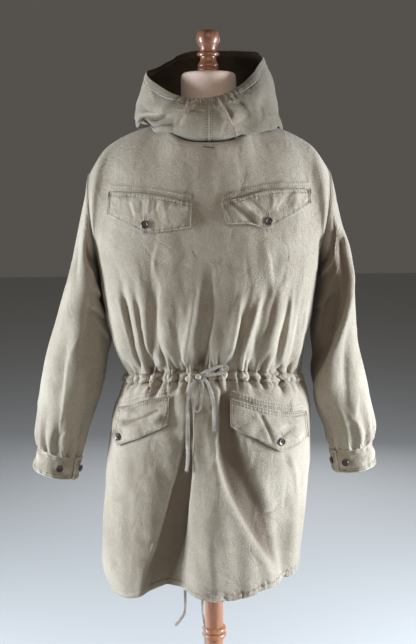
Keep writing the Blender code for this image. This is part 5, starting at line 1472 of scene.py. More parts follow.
# Routes on the sleeve: degrees round it, and 50 for each ring down.
sleeveRidges = {  # a crest down the front of the sleeve: ring, degrees
    "right": ((1.5, 118), (2.6, 114), (5.1, 99), (6.2, 88), (7.6, 90), (9.5, 96)),
    "left": ((1.5, 60), (2.2, 48), (3.2, 46), (4.4, 66), (5.5, 90), (6.5, 114), (7.6, 138), (8.6, 150)),
}
sleeveShades = {  # the sunk part beside the body, painted darker as shade: ring, degrees where it begins; depth, and how much darker it is painted
    "right": (((1.0, 98), (2.2, 116), (3.2, 136), (4.4, 160), (5.4, 184), (6.2, 200)), 0.0050, 0.60),
    "left": (((0.8, 74), (2.2, 55), (3.2, 54), (4.4, 74), (5.5, 98), (6.5, 122), (7.4, 150), (8.0, 176)), 0.0060, 0.62),
}
sleeveCreases = {
    "right": (
        (0.0034, 0.0100, 2, (0.30, 0.35), (112, -150), (140, -172), (172, -186)),
        (0.0036, 0.0100, 2, (0.30, 0.35), (98, -206), (126, -216), (170, -240)),
        (0.0026, 0.0090, 2, (0.35, 0.35), (120, -232), (150, -262), (176, -290)),
        (0.0016, 0.0090, 2, (0.35, 0.40), (84, -330), (60, -352), (30, -362)),
        (0.0016, 0.0070, 2, (0.35, 0.40), (110, -420), (96, -452), (88, -486)),
        (0.0022, 0.0120, 2, (0.35, 0.40), (330, -180), (296, -214), (262, -226)),
        (0.0024, 0.0120, 2, (0.35, 0.40), (338, -262), (300, -284), (258, -292)),
        (0.0022, 0.0120, 2, (0.35, 0.40), (262, -330), (296, -352), (330, -350)),
        (0.0018, 0.0110, 2, (0.35, 0.40), (336, -396), (306, -420), (274, -430)),
    ),
    "left": (
        (0.0052, 0.0080, 2, (0.15, 0.30), (60, -62), (92, -78), (124, -96), (160, -112)),
        (-0.0036, 0.0070, 2, (0.15, 0.30), (72, -92), (98, -112), (128, -124)),
        (0.0028, 0.0090, 2, (0.30, 0.35), (112, -186), (142, -206), (174, -214)),
        (0.0022, 0.0090, 2, (0.35, 0.40), (104, -262), (132, -290), (168, -300)),
        (0.0014, 0.0080, 2, (0.35, 0.40), (52, -372), (70, -410), (92, -436)),
        (0.0014, 0.0070, 2, (0.35, 0.40), (96, -392), (76, -424), (62, -462)),
        (0.0022, 0.0120, 2, (0.35, 0.40), (326, -190), (292, -216), (258, -236)),
        (0.0024, 0.0120, 2, (0.35, 0.40), (334, -270), (298, -292), (256, -300)),
        (0.0022, 0.0120, 2, (0.35, 0.40), (264, -340), (300, -356), (334, -346)),
        (0.0018, 0.0110, 2, (0.35, 0.40), (330, -404), (300, -424), (270, -436)),
    ),
}


def leanOn(made, side, angle, place):
    # Draws the upper sleeve's inner side up to the body, just clear of it.
    reach, clear, first, last = sleeveMake["lean"]
    window = step(105, 150, angle) * (1 - step(215, 250, angle)) * step(0.5, 1.4, place)
    window = window * (1 - step(first, last, place))
    pull = np.zeros(angle.shape)
    for i, j in np.argwhere(window > 0.02):
        found = bodyTree.ray_cast(Vector(made[i, j]), Vector((-side, 0, 0)), 0.05)
        if found[0]:
            pull[i, j] = np.clip(found[3] - clear, 0, reach) * window[i, j]
    for _ in range(6):
        pull = np.minimum(soften(pull, 4), pull)
    made[..., 0] -= side * pull


bodyTree = surfaceOf(frontPanel["obj"], backPanel["obj"])


def makeSleeve(side):
    name = sideName(side)
    last = len(sleeveRight) - 1
    places = np.linspace(0, last, sleeveMake["rings"])
    turn = np.linspace(0, 360, sleeveMake["fine"], endpoint=False)
    angle, place = np.meshgrid(turn, places)
    base = sleevePoint(side, angle, place)
    base[..., 0] += side * sleeveMake["shoulderLift"] * (1 - step(0.0, 1.2, place))
    across, down50 = angle * 0.001, -place * 0.050
    ridge = np.array(sleeveRidges[name])
    bend = halfTurn(angle - curve(ridge[:, 0], ridge[:, 1], place))
    crest = np.exp(-(np.sqrt(bend**2 + 4) - 2) / np.where(bend > 0, 24, 20))
    inner = np.exp(-((bend - 48) / 24)**2)
    held = step(ridge[0, 0] - 0.6, ridge[0, 0] + 1.0, place) * (1 - step(ridge[-1, 0] - 1.4, ridge[-1, 0], place))
    shift = (sleeveMake["crest"] * crest - sleeveMake["hollow"] * inner) * held
    border, sunk, paintedShade = sleeveShades[name]
    border = np.array(border)
    shaded = step(-4, 8, angle - curve(border[:, 0], border[:, 1], place)) * (1 - step(200, 245, angle))
    top, low = border[0, 0], border[-1, 0]
    shaded *= step(top - 0.5, top + 0.3, place) * (1 - step(low - 1.6, low, place))
    shift -= sunk * shaded
    shift += creases(across, down50, sleeveCreases[name], ledge=True)
    strewn = scatter(401 + side, 120, (0, 360, -480, -30), (-70, 70), (0.0003, 0.0009), (0.0026, 0.0055), (28, 90))
    shift += creases(across, down50, strewn)
    dice = np.random.default_rng(71 if side > 0 else 72)
    for k in range(sleeveMake["gathers"]):
        at = (k + dice.uniform(0.2, 0.8)) * 360 / sleeveMake["gathers"]
        depth, rise = dice.uniform(0.0022, 0.0058), dice.uniform(0.7, sleeveMake["pleatRise"])
        lean = dice.uniform(-9, 9)
        bend = halfTurn(angle - at - lean * (last - place))
        fade = step(last - rise, last - 0.25, place) * (1 - 0.65 * step(last - 0.3, last, place))
        shift -= depth * fade * np.exp(-np.abs(bend / dice.uniform(1.7, 3.0))**1.5)
    s = np.radians(angle)
    long = waves(np.cos(s) * 0.07 * 1.2, np.sin(s) * 0.07 * 1.2 + place * 0.040, 0.085, 9, 41 + side)
    shift += sleeveMake["longWave"] * long
    shift *= step(0.0, 0.7, place) * (1 - 0.8 * step(last - 0.5, last, place))
    centre = base.mean(axis=1, keepdims=True)
    down = downColumns(base)
    shift += seamGroove(down, (sleeveMake["stitchIn"] * 0.45, sleeveMake["stitchIn"] * 1.7), 0.0007, 0.0012)
    seam = halfTurn(angle - sleeveMake["seamAngle"])
    shift += seamGroove(np.abs(np.radians(seam)) * 0.075, (0.0, 0.0065), 0.0009, 0.0015) * step(0, 0.4, place)
    normal = outward(normals(base, closed=True), base - centre)
    made = base + normal * shift[..., None]
    leanOn(made, side, angle, place)
    # painted shade over the sunk part beside the body
    keep = ridgeWearFoldShade(shift, 7, 0.0040, closed=True) + 0.18 * np.exp(-(down / 0.002)**2) - paintedShade * shaded
    around = alongRows(closeRows(base))
    chart = np.stack([around, closeRows(down)], -1)
    made, keep, chart = crowd(closeRows(made), sleeveMake["columns"] + 1, sleeveMake["turnLength"],
                              closeRows(keep), chart)
    made, keep = made[:, :-1], keep[:, :-1]
    obj = gridPiece("smockSleeve" + name.capitalize(), made, lambda p: awayFromSleeve(side, p),
                    ("smockCloth", "smockInsideShaded"), closed=True, chart=chart, wear=keep,
                    thick=sleeveMake["wall"])
    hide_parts("sleeve_" + name)
    return {"obj": obj, "points": made}


def awayFromSleeve(side, p):
    # Outwards from the sleeve's own middle line.
    t = table(sleeveLeft if side > 0 else sleeveRight, sleeveColumns)
    x = side * (t["x_out"] + t["x_in"]) / 2
    z = (t["z_out"] + t["z_in"]) / 2
    i = int(np.argmin(np.hypot(x - p.x, z - p.z)))
    return (p.x - x[i], p.y - t["y"][i], p.z - z[i])


sleeves = {side: makeSleeve(side) for side in (-1, 1)}
print("sleeves made")


cuffShape = {
    "height": 0.047, "overlap": 46, "seamGap": 0.0005, "layerGap": 0.0006, "stepOut": (300, 352),
    "flare": 0.035, "cloth": 0.0026,
}
cuffCut = {"right": (190, 0.0030, (104, 166)), "left": (190, 0.0000, (119, 167))}


def cuffPoint(side, turn, down, start, gape):
    # A cuff's middle: turn in degrees from its inner end, down 0 at the sleeve and 1 at the wrist
    centre, across, axis, half, deep = sleeveEnd(side)
    angle = np.radians(start - turn)
    lap = step(*cuffShape["stepOut"], turn)
    curl = gape * step(360, 360 + cuffShape["overlap"], turn) * down
    extra = lap * (cuffShape["cloth"] + cuffShape["layerGap"]) + curl
    r = 1.0 + cuffShape["flare"] * down
    x = (half * r + extra) * np.cos(angle)
    y = -(deep * r + extra) * np.sin(angle)
    along = cuffShape["seamGap"] + cuffShape["height"] * down
    front = np.stack([0 * x, 1 + 0 * x, 0 * x], -1)
    return centre + across * x[..., None] + front * y[..., None] + axis * along[..., None]


# Cuffs: a band lapped over itself, its tab corner curling off where it gapes.
cuffMake = {"columns": 210, "rows": 26, "edgeIn": 0.0035, "rowGap": 0.0055, "round": 0.0006, "pucker": 0.0007,
            "wave": 0.0007}


def makeCuff(side):
    name = sideName(side)
    start, gape, _ = cuffCut[name]
    turns = np.linspace(0, 360 + cuffShape["overlap"], cuffMake["columns"])
    turn, down = np.meshgrid(turns, np.linspace(0, 1, cuffMake["rows"]))
    base = cuffPoint(side, turn, down, start, gape)
    around, length = alongRows(base), downColumns(base)
    height = length[-1:]
    edge = np.minimum(np.minimum(length, height - length), around[:, -1:] - around)
    shift = seamGroove(edge, (cuffMake["edgeIn"], cuffMake["edgeIn"] + cuffMake["rowGap"]), 0.0006, 0.0010)
    roll = np.clip(edge / 0.0022, 0, 1)
    shift -= 0.0005 * (1 - roll)**2
    lapEdge = np.clip((360 + cuffShape["overlap"] - turn) / 20, 0, 1)
    pucker = np.sin(around / 0.0022 + 3 * np.sin(around / 0.021))
    shift += cuffMake["pucker"] * pucker * np.exp(-((edge - 0.005) / 0.004)**2)
    free = np.clip(edge / 0.004, 0, 1)
    shift += creases(around, length, scatter(501 + side, 46, (0, 330, 0, 47), (-80, 80), (0.0003, 0.0009),
                                             (0.0018, 0.0030), (10, 34))) * free
    wave = waves(around, length * 1.5, 0.040, 8, 81 + side)
    shift += cuffMake["wave"] * wave * free * (0.35 + 0.65 * lapEdge)
    under = 1 - step(20, 52, turn)
    shift *= 1 - 0.7 * under * (turn < 60)
    centre = base.mean(axis=1, keepdims=True)
    normal = outward(normals(base), base - centre)
    made = base + normal * shift[..., None]
    keep = ridgeWearFoldShade(shift, 4, 0.0024) + 0.55 * np.exp(-(edge / 0.0018)**2) + 0.12 * waves(around, length, 0.03, 6, 86)
    chart = np.stack([around, length], -1)
    obj = gridPiece("smockCuff" + name.capitalize(), made, lambda p: awayFromCuff(side, p),
                    ("smockCloth",), chart=chart, wear=keep, thick=cuffShape["cloth"])
    roundEdges(obj, cuffMake["round"])
    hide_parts("cuff_" + name)
    return {"obj": obj, "points": made}


def awayFromCuff(side, p):
    middle = sleeveEnd(side)[0]
    return (p.x - middle[0], p.y - middle[1], 0.0)


cuffs = {side: makeCuff(side) for side in (-1, 1)}
print("cuffs made")


hoodColumns = ("angle", "r1", "z1", "r2", "z2", "r3", "z3", "r4", "z4", "r5", "z5")
hoodRings = (
    (0, 0.1190, 1.4680, 0.1250, 1.4820, 0.1270, 1.5020, 0.1180, 1.5240, 0.1010, 1.5410),
    (35, 0.1170, 1.4760, 0.1290, 1.4750, 0.1300, 1.5050, 0.1160, 1.5350, 0.0905, 1.5600),
    (65, 0.1150, 1.4945, 0.1330, 1.4845, 0.1290, 1.5180, 0.1160, 1.5550, 0.0900, 1.5850),
    (90, 0.1190, 1.4985, 0.1390, 1.4880, 0.1260, 1.5350, 0.1190, 1.5750, 0.0990, 1.6090),
    (115, 0.1200, 1.4990, 0.1560, 1.4700, 0.1560, 1.5200, 0.1430, 1.5800, 0.1190, 1.6250),
    (138, 0.1190, 1.5000, 0.1760, 1.4420, 0.1900, 1.5000, 0.1720, 1.5850, 0.1420, 1.6420),
    (160, 0.1180, 1.5010, 0.1820, 1.4300, 0.2020, 1.4900, 0.1800, 1.5850, 0.1340, 1.6460),
    (180, 0.1180, 1.5010, 0.1840, 1.4250, 0.2040, 1.4850, 0.1790, 1.5850, 0.1260, 1.6475),
    (200, 0.1180, 1.5010, 0.1820, 1.4300, 0.2000, 1.4900, 0.1730, 1.5750, 0.1220, 1.6440),
    (222, 0.1180, 1.5000, 0.1740, 1.4470, 0.1840, 1.4950, 0.1580, 1.5650, 0.1080, 1.6270),
    (245, 0.1190, 1.4990, 0.1530, 1.4790, 0.1540, 1.5200, 0.1380, 1.5650, 0.1060, 1.6100),
    (275, 0.1190, 1.4985, 0.1350, 1.4970, 0.1395, 1.5180, 0.1330, 1.5520, 0.1205, 1.5930),
    (305, 0.1170, 1.4870, 0.1320, 1.4850, 0.1340, 1.5060, 0.1220, 1.5350, 0.1060, 1.5620),
    (332, 0.1160, 1.4750, 0.1280, 1.4790, 0.1300, 1.5000, 0.1200, 1.5260, 0.1010, 1.5430),
)
hoodFolds = (
    (312, 0.52, 0.010, 17, 0.09), (292, 0.30, 0.006, 14, 0.08), (62, 0.55, 0.011, 13, 0.16),
    (35, 0.40, 0.006, 10, 0.14), (100, 0.60, 0.007, 10, 0.20), (200, 0.45, 0.012, 14, 0.16),
    (160, 0.55, 0.010, 12, 0.16), (232, 0.50, 0.008, 12, 0.16), (128, 0.45, 0.009, 10, 0.14),
)
hoodKnots = (0.0, 0.10, 0.24, 0.45, 0.72, 1.0)


def profile(knots, values, t):
    # The smooth line through values, one per knot, at t, for each point of a grid
    slope = np.gradient(values, knots, axis=0)
    i = np.clip(np.searchsorted(knots, t) - 1, 0, len(knots) - 2)
    pick = lambda a, k: np.take_along_axis(a, k[None], axis=0)[0]
    h = np.asarray(knots)[i + 1] - np.asarray(knots)[i]
    f = np.clip((t - np.asarray(knots)[i]) / h, 0, 1)
    start = (2 * f**3 - 3 * f**2 + 1) * pick(values, i) + (f**3 - 2 * f**2 + f) * h * pick(slope, i)
    return start + (3 * f**2 - 2 * f**3) * pick(values, i + 1) + (f**3 - f**2) * h * pick(slope, i + 1)


def hoodPoint(angle, t):
    # The hood: angle round the neck, t 0 at the neck seam and 1 at the rim
    angle, t = np.broadcast_arrays(np.asarray(angle, float), np.asarray(t, float))
    h = table(hoodRings, hoodColumns)
    neck = table(neckSeam, neckColumns)
    seat = bodyCut["cloth"] / 2 + hoodMake["lift"]
    radius = [roundCurve(neck["angle"], neck["radius"], angle)]
    height = [roundCurve(neck["angle"], neck["height"], angle) + seat]
    for k in "12345":
        radius.append(roundCurve(h["angle"], h["r" + k], angle))
        height.append(roundCurve(h["angle"], h["z" + k], angle))
    r = profile(hoodKnots, np.array(radius), t)
    z = profile(hoodKnots, np.array(height), t)
    for at, place, depth, wide, tall in hoodFolds:
        turn = halfTurn(angle - at)
        r = r - depth * np.exp(-(turn / wide)**2 - ((t - place) / tall)**2)
    a = np.radians(angle)
    return np.stack([r * np.sin(a), -r * np.cos(a), z], -1)


# Hood: two halves joined at the centre front and back, thrown back off the neck.
hoodMake = {"rows": 104, "fine": 460, "columns": 172, "turnLength": 0.0045, "wall": 0.0018, "rimIn": 0.016,
            "gap": 0.06, "seamIn": 0.0040, "paintedShade": 0.40, "lift": 0.0026, "clear": 0.0007, "standOut": 0.45,
            "gatherDepth": 0.0025, "longWave": 0.0007, "rimRoll": 0.0009, "pucker": 0.0004}
hoodLedges = (  # depth, width, sharpness, fades, then degrees round and millimetres up from the neck seam
    (0.0105, 0.0062, 2, (0.05, 0.25), (-84, 50), (-70, 58), (-58, 63), (-44, 64), (-34, 58)),
    (0.0050, 0.0048, 2, (0.10, 0.25), (-30, 34), (-42, 36), (-56, 32), (-70, 24)),
    (0.0030, 0.0050, 2, (0.15, 0.30), (-16, 62), (-22, 46), (-24, 30)),
    (0.0026, 0.0045, 2, (0.15, 0.35), (14, 74), (20, 56), (19, 38)),
    (0.0024, 0.0045, 2, (0.15, 0.35), (30, 86), (37, 64), (38, 46)),
    (0.0020, 0.0050, 2, (0.15, 0.35), (62, 92), (56, 66), (48, 44)),
    (0.0024, 0.0070, 2, (0.15, 0.35), (92, 96), (98, 66), (96, 36)),
    (0.0045, 0.0080, 2, (0.15, 0.35), (120, 120), (138, 84), (150, 60)),
    (0.0045, 0.0080, 2, (0.15, 0.35), (178, 110), (160, 78), (140, 40)),
    (0.0045, 0.0080, 2, (0.15, 0.35), (-150, 110), (-164, 74), (-176, 40)),
    (0.0040, 0.0070, 2, (0.15, 0.35), (-120, 118), (-108, 84), (-100, 50)),
    (0.0035, 0.0060, 2, (0.15, 0.35), (-96, 70), (-84, 52), (-74, 40)),
)
hoodGathers = (  # degrees round, size
    (-31, 0.5), (-24, 0.8), (-19, 0.6), (-14.5, 1.0), (-10, 0.8), (-6.5, 1.0), (-3, 0.7),
    (3.5, 0.8), (7, 1.0), (11, 0.8), (15, 1.0), (19.5, 0.8), (25, 0.7), (32, 0.5),
)


def makeHood(side):
    name = sideName(side)
    ends = (hoodMake["gap"], 180 - hoodMake["gap"]) if side > 0 else (-180 + hoodMake["gap"], -hoodMake["gap"])
    angles = np.linspace(*ends, hoodMake["fine"])
    ts = np.linspace(0, 1, hoodMake["rows"])**0.94
    angle, t = np.meshgrid(angles, ts)
    base = hoodPoint(angle, t)
    around, up = alongRows(base), downColumns(base)
    rimFar = up[-1:] - up
    # a flat chart: 1 mm for each degree, and the way up from the neck seam
    across = angle * 0.001
    ledges = creases(across, up, hoodLedges, ledge=True)
    shift = np.where(ledges > 0, hoodMake["standOut"], 1.0) * ledges  # they sink more than they stand out
    shift += creases(across, up, scatter(601 + side, 90, (-180, 180, 8, 130), (-80, 80), (0.0005, 0.0015),
                                           (0.0022, 0.0045), (22, 70)))
    rimGather = np.zeros(angle.shape)
    dice = np.random.default_rng(91)
    for at, size in hoodGathers:
        lean = dice.uniform(-120, 120)
        far = (angle - at - lean * rimFar) / 1.15
        fade = 1 - step(0.010, 0.034, rimFar)
        rimGather -= hoodMake["gatherDepth"] * size * fade * np.exp(-np.abs(far)**1.5)
    edgeFar = np.minimum(around, around[:, -1:] - around)
    shift += rimGather
    shift += hoodMake["longWave"] * waves(angle * 0.0021, up, 0.070, 9, 95)
    shift *= step(0.0, 0.020, edgeFar) * 0.85 + 0.15
    shift *= step(0.0, 0.022, up)
    shift += seamGroove(rimFar, (hoodMake["rimIn"],), 0.0007, 0.0017) + seamGroove(up, (0.0030,), 0.0006, 0.0010)
    shift += hoodMake["rimRoll"] * np.exp(-((rimFar - hoodMake["rimIn"] * 0.5) / 0.0060)**2)
    shift += seamGroove(edgeFar, (hoodMake["seamIn"],), 0.0007, 0.0011)
    pucker = hoodMake["pucker"] * np.sin(around / 0.0024 + 3 * np.sin(around / 0.02))
    shift += pucker * np.exp(-((rimFar - hoodMake["rimIn"]) / 0.006)**2)
    normal = outward(normals(base), base - [0, 0, 1.5])
    made = base + normal * shift[..., None]
    clearOf(made, bodyTree, hoodMake["wall"] / 2 + hoodMake["clear"], (t < 0.45) & (up > 0.001))
    keep = ridgeWearFoldShade(shift, 6, 0.0036) + 0.12 * np.exp(-(rimFar / 0.0016)**2)
    # painted shade in the hollows under the ledges, and painted shade over the hood's left half, from about 16 to 175
    # degrees
    keep += np.clip(ledges, -0.008, 0) * 60 - hoodMake["paintedShade"] * step(16, 40, angle) * (1 - step(150, 175, angle))
    chart = np.stack([around, up], -1)
    made, keep, chart = crowd(made, hoodMake["columns"], hoodMake["turnLength"], keep, chart)
    obj = gridPiece("smockHood" + name.capitalize(), made, lambda p: p - Vector((0, 0, 1.5)),
                    ("hoodClothShaded", "hoodInsideShaded"), chart=chart, wear=keep, thick=hoodMake["wall"])
    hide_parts("hood_" + name)
    return {"obj": obj, "points": made}


hoods = {side: makeHood(side) for side in (-1, 1)}
print("hood made")


# Pocket flaps: laid over the front, two rows of topstitching, a buttonhole. Creases are on the front's x and z.
flapMake = {"columns": 84, "rows": 25, "wall": 0.0015, "lift": 0.0024, "seamLift": 0.00045, "curl": 1.5,
            "near": 0.0024, "stitchIn": (0.0042,), "seamRows": (0.0026, 0.0082), "pocketRows": (0.0052, 0.0106),
            "round": 0.0008, "reach": 0.6, "pucker": 0.0006, "ripple": 0.00035, "wave": 0.0005}
flapCreases = {
    "flap_chest_right": (
        (-0.0014, 0.0040, 2, (0.2, 0.3), (-150, 1366), (-146, 1340), (-138, 1316)),
        (0.0012, 0.0055, 2, (0.2, 0.3), (-90, 1362), (-80, 1335), (-84, 1308)),
        (0.0014, 0.0034, 2, (0.2, 0.3), (-116, 1328), (-112, 1345), (-110, 1364)),
        (-0.0014, 0.0030, 2, (0.2, 0.3), (-124, 1330), (-125, 1348), (-123, 1366)),
        (0.0011, 0.0038, 2, (0.2, 0.3), (-134, 1328), (-142, 1345), (-152, 1358)),
        (-0.0014, 0.0034, 2, (0.2, 0.3), (-104, 1332), (-98, 1346), (-96, 1362)),
    ),
    "flap_chest_left": (
        (0.0034, 0.0046, 2, (0.05, 0.20), (36, 1364), (62, 1346), (98, 1315)),
        (-0.0040, 0.0046, 2, (0.05, 0.20), (34, 1354), (54, 1336), (84, 1306)),
        (-0.0018, 0.0034, 2, (0.10, 0.30), (62, 1364), (80, 1348), (102, 1328)),
        (-0.0024, 0.0042, 2, (0.1, 0.2), (152, 1374), (138, 1350), (124, 1330)),
        (0.0014, 0.0038, 2, (0.2, 0.3), (112, 1332), (116, 1350), (114, 1368)),
        (0.0012, 0.0050, 2, (0.2, 0.3), (162, 1374), (158, 1352), (150, 1334)),
    ),
    "flap_hip_right": (
        (-0.0034, 0.0034, 2, (0.10, 0.10), (-98, 962), (-132, 944), (-172, 922)),
        (0.0018, 0.0060, 2, (0.15, 0.20), (-92, 950), (-128, 930), (-160, 914)),
        (-0.0012, 0.0050, 2, (0.2, 0.3), (-150, 966), (-160, 930), (-170, 900)),
    ),
    "flap_hip_left": (
        (-0.0028, 0.0032, 2, (0.05, 0.15), (88, 958), (104, 922), (116, 890)),
        (-0.0022, 0.0032, 2, (0.15, 0.10), (160, 918), (136, 904), (122, 888)),
        (0.0016, 0.0060, 2, (0.15, 0.20), (98, 950), (116, 916), (128, 896)),
    ),
}


def flapPlane(name):
    # Grid of x and z over the flap, its columns crowded at the corners of the lower edge.
    top, bottom, _, _ = flapCut[name]
    tx, tz = np.array(top).T
    bx, bz = np.array(bottom).T
    corners = (bx - bx[0]) / (bx[-1] - bx[0])
    plain = np.linspace(0, 1, flapMake["columns"])
    for corner in corners[1:-1]:
        plain[np.abs(plain - corner).argmin()] = corner
    across, down = np.meshgrid(plain, np.linspace(0, 1, flapMake["rows"]))
    highX = tx[0] + (tx[-1] - tx[0]) * across
    lowX = bx[0] + (bx[-1] - bx[0]) * across
    x = highX + (lowX - highX) * down
    highZ = curve(tx, tz, highX)
    z = highZ + (np.interp(lowX, bx, bz) - highZ) * down
    return across, down, x, z


def castFront(tree, x, z):
    return tree.ray_cast(Vector((x, -flapMake["reach"], z)), Vector((0, 1, 0)))


def makeFlap(name, tree):
    across, down, x, z = flapPlane(name)
    lifts = flapCut[name][2]
    near = flapMake["near"] * np.array((-1, 0, 1))
    y = np.zeros(x.shape)
    for i in range(x.shape[0]):
        for j in range(x.shape[1]):
            hits = [castFront(tree, x[i, j] + dx, z[i, j] + dz)[0] for dx in near for dz in near]
            hits = [h.y for h in hits if h]
            y[i, j] = min(hits) if hits else y[i, j - 1]
    smooth = y.copy()
    for _ in range(14):
        smooth = np.minimum(soften(smooth, 2), y)
    y = smooth
    inner = np.stack([x, y, z], -1)
    lift = (lifts[0] * (1 - across)**2 + lifts[1] * across**2) * down**flapMake["curl"]
    lift = lift + flapMake["seamLift"] + (flapMake["lift"] - flapMake["seamLift"]) * np.clip(down * 4, 0, 1)
    far, length = alongRows(inner), downColumns(inner)
    edge = np.minimum(np.minimum(far, far[:, -1:] - far), length[-1:] - length)
    shift = seamGroove(edge, flapMake["stitchIn"], 0.0005, 0.0012)
    shift += seamGroove(length, flapMake["seamRows"], 0.0007, 0.0012)
    pucker = flapMake["pucker"] * np.sin(far / 0.0011 + 2.4 * np.sin(far / 0.017))
    shift += pucker * np.exp(-((length - 0.004) / 0.006)**2)
    ripple = np.sin(far / 0.0024 + 3 * np.sin(far / 0.021)) * np.exp(-((edge - 0.006) / 0.004)**2)
    shift += flapMake["ripple"] * ripple
    seed = 700 + len(name) + round(x[0, 0] * 1000)
    box = (x.min() * 1000, x.max() * 1000, z.min() * 1000, z.max() * 1000)
    shift += creases(x, z, scatter(seed, 34, box, (-80, 80), (0.0003, 0.0008), (0.0020, 0.0038), (14, 44)))
    shift += creases(x, z, flapCreases[name]) * np.clip(edge / 0.004, 0, 1)
    shift += flapMake["wave"] * waves(x, z, 0.055, 8, len(name) + 3) * np.clip(down * 4, 0, 1)
    face = outward(normals(inner), np.array([0, -1, 0]))
    made = inner + face * (lift + flapMake["wall"] / 2 + np.maximum(shift, -lift * 0.6))[..., None]
    keep = ridgeWearFoldShade(shift, 4, 0.0030) + 0.10 * waves(x, z, 0.035, 6, 7) - (0.20 if name == "flap_hip_right" else 0)
    # painted shade along the grooves of the two seam rows and the edge row
    rowsShade = seamGroove(length, flapMake["seamRows"], 0.26, 0.0010)
    keep += seamGroove(edge, flapMake["stitchIn"], 0.16, 0.0010) + rowsShade
    chart = np.stack([far, length], -1)
    title = "smock" + "".join(word.capitalize() for word in name.split("_"))
    obj = gridPiece(title, made, lambda p: (0, -1, 0), ("smockCloth",), chart=chart, wear=keep,
                    thick=flapMake["wall"])
    roundEdges(obj, flapMake["round"])
    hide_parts(name)
    return {"obj": obj, "points": made}


frontTree = surfaceOf(frontPanel["obj"])
flaps = {name: makeFlap(name, frontTree) for name in flapCut}
print("flaps made")


# Buttons: four holes, a raised rim and a dished middle; radius and height of the outline, low to high.
buttonOutline = ((0.0000, 0.0000), (0.0066, 0.0000), (0.0073, 0.0005), (0.0075, 0.0012), (0.0074, 0.0020),
                 (0.0070, 0.0027), (0.0064, 0.0030), (0.0057, 0.0029), (0.0050, 0.0025), (0.0040, 0.0022),
                 (0.0020, 0.0021), (0.0000, 0.0021))
buttonMake = {"steps": 48, "hole": 0.00085, "holeAt": 0.0016, "radius": 0.0075, "clear": 0.0003, "thread": 0.00075,
              "arch": 0.0007}


def spun(outline, steps):
    # An outline of radius and height turned about the upright axis.
    bm = bmesh.new()
    verts = [bm.verts.new((r, 0, z)) for r, z in outline]
    edges = [bm.edges.new(pair) for pair in zip(verts, verts[1:])]
    bmesh.ops.spin(bm, geom=verts + edges, cent=(0, 0, 0), axis=(0, 0, 1), angle=2 * math.pi, steps=steps,
                   use_merge=True, use_duplicate=False)
    bmesh.ops.remove_doubles(bm, verts=bm.verts, dist=1e-6)
    bmesh.ops.recalc_face_normals(bm, faces=bm.faces)
    return bm


def buttonBlank():
    blank = plainObject("buttonBlank", spun(buttonOutline, buttonMake["steps"]))
    bm = bmesh.new()
    at = buttonMake["holeAt"]
    for x, y in ((at, at), (-at, at), (-at, -at), (at, -at)):
        bmesh.ops.create_cone(bm, cap_ends=True, segments=16, radius1=buttonMake["hole"], radius2=buttonMake["hole"],
                              depth=0.02, matrix=Matrix.Translation((x, y, 0)))
    drill = plainObject("buttonDrill", bm)
    cut = blank.modifiers.new("holes", "BOOLEAN")
    cut.operation = "DIFFERENCE"
    cut.object = drill
    graph = bpy.context.evaluated_depsgraph_get()
    mesh = bpy.data.meshes.new_from_object(blank.evaluated_get(graph))
    for obj in (blank, drill):
        old = obj.data
        bpy.data.objects.remove(obj)
        bpy.data.meshes.remove(old)
    return mesh


def nodeAxis(name):
    # Middle and thinnest direction of a part's node.
    points = np.array([v.co for v in bpy.data.objects[name].data.vertices])
    middle = (points.max(0) + points.min(0)) / 2
    _, vectors = np.linalg.eigh(np.cov((np.unique(np.round(points, 6), axis=0) - middle).T))
    return middle, vectors[:, 0]


def makeButton(node, tree, away, mesh, turn):
    middle, axis = nodeAxis(node)
    axis = Vector(axis if np.dot(axis, away) > 0 else -axis)
    side = axis.orthogonal().normalized()
    up = axis.cross(side)
    heights = []
    for reach in (0.0, 0.35, 0.7, 1.0):
        for a in np.linspace(0, 2 * math.pi, 14, endpoint=False):
            way = (side * math.cos(a) + up * math.sin(a)) * buttonMake["radius"] * reach
            start = Vector(middle) + way + axis * 0.02
            found = tree.ray_cast(start, -axis, 0.05)[0]
            if found:
                heights.append((found - Vector(middle)).dot(axis))
    seat = Vector(middle) + axis * (max(heights) + buttonMake["clear"])
    place = Matrix.Translation(seat) @ axis.to_track_quat("Z", "Y").to_matrix().to_4x4() @ Matrix.Rotation(turn, 4, "Z")
    bm = bmesh.new()
    bm.from_mesh(mesh)
    bmesh.ops.transform(bm, matrix=place, verts=bm.verts)
    obj = finishMesh("b" + node[1:].replace("_", ""), bm, ("buttonHorn",), sharp=32)
    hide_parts(node)
    at, parts = buttonMake["holeAt"], []
    for k in (-1, 1):
        for j, drop in ((0, 0.0), (1, 0.00035)):
            t = np.linspace(-1, 1, 9)
            flat = np.stack([t * at * 1.02, k * at + (j - 0.5) * 0.0005 + 0 * t,
                             0.0021 + buttonMake["arch"] * (1 - t**4) - 0.0016 * np.abs(t)**8 - drop * 0.2], -1)
            line = np.array([place @ Vector(p) for p in flat])
            rings = sweepTube(line, buttonMake["thread"], buttonMake["thread"], np.array(axis), 8)
            parts.append(gridPiece(f"sewn{k}{j}", rings, lambda p: (0, 0, 0), ("darkThread",), closed=True))
            closeEnds(parts[-1])
    joinPieces(obj.name + "Thread", parts)


def makeButtons():
    mesh = buttonBlank()
    for i, name in enumerate(flapCut):
        tree = surfaceOf(flaps[name]["obj"])
        makeButton("button_" + name, tree, (0, -1, 0), mesh, 0.35 + 0.5 * i)
    for side in (-1, 1):
        name = sideName(side)
        tree = surfaceOf(cuffs[side]["obj"])
        middle, _, down, _, _ = sleeveEnd(side)
        middle = middle + down * cuffShape["height"] / 2
        for letter in "ab":
            node = f"button_cuff_{name}_{letter}"
            makeButton(node, tree, nodeAxis(node)[0] - middle, mesh, 0.8)
    bpy.data.meshes.remove(mesh)


makeButtons()
print("buttons made")


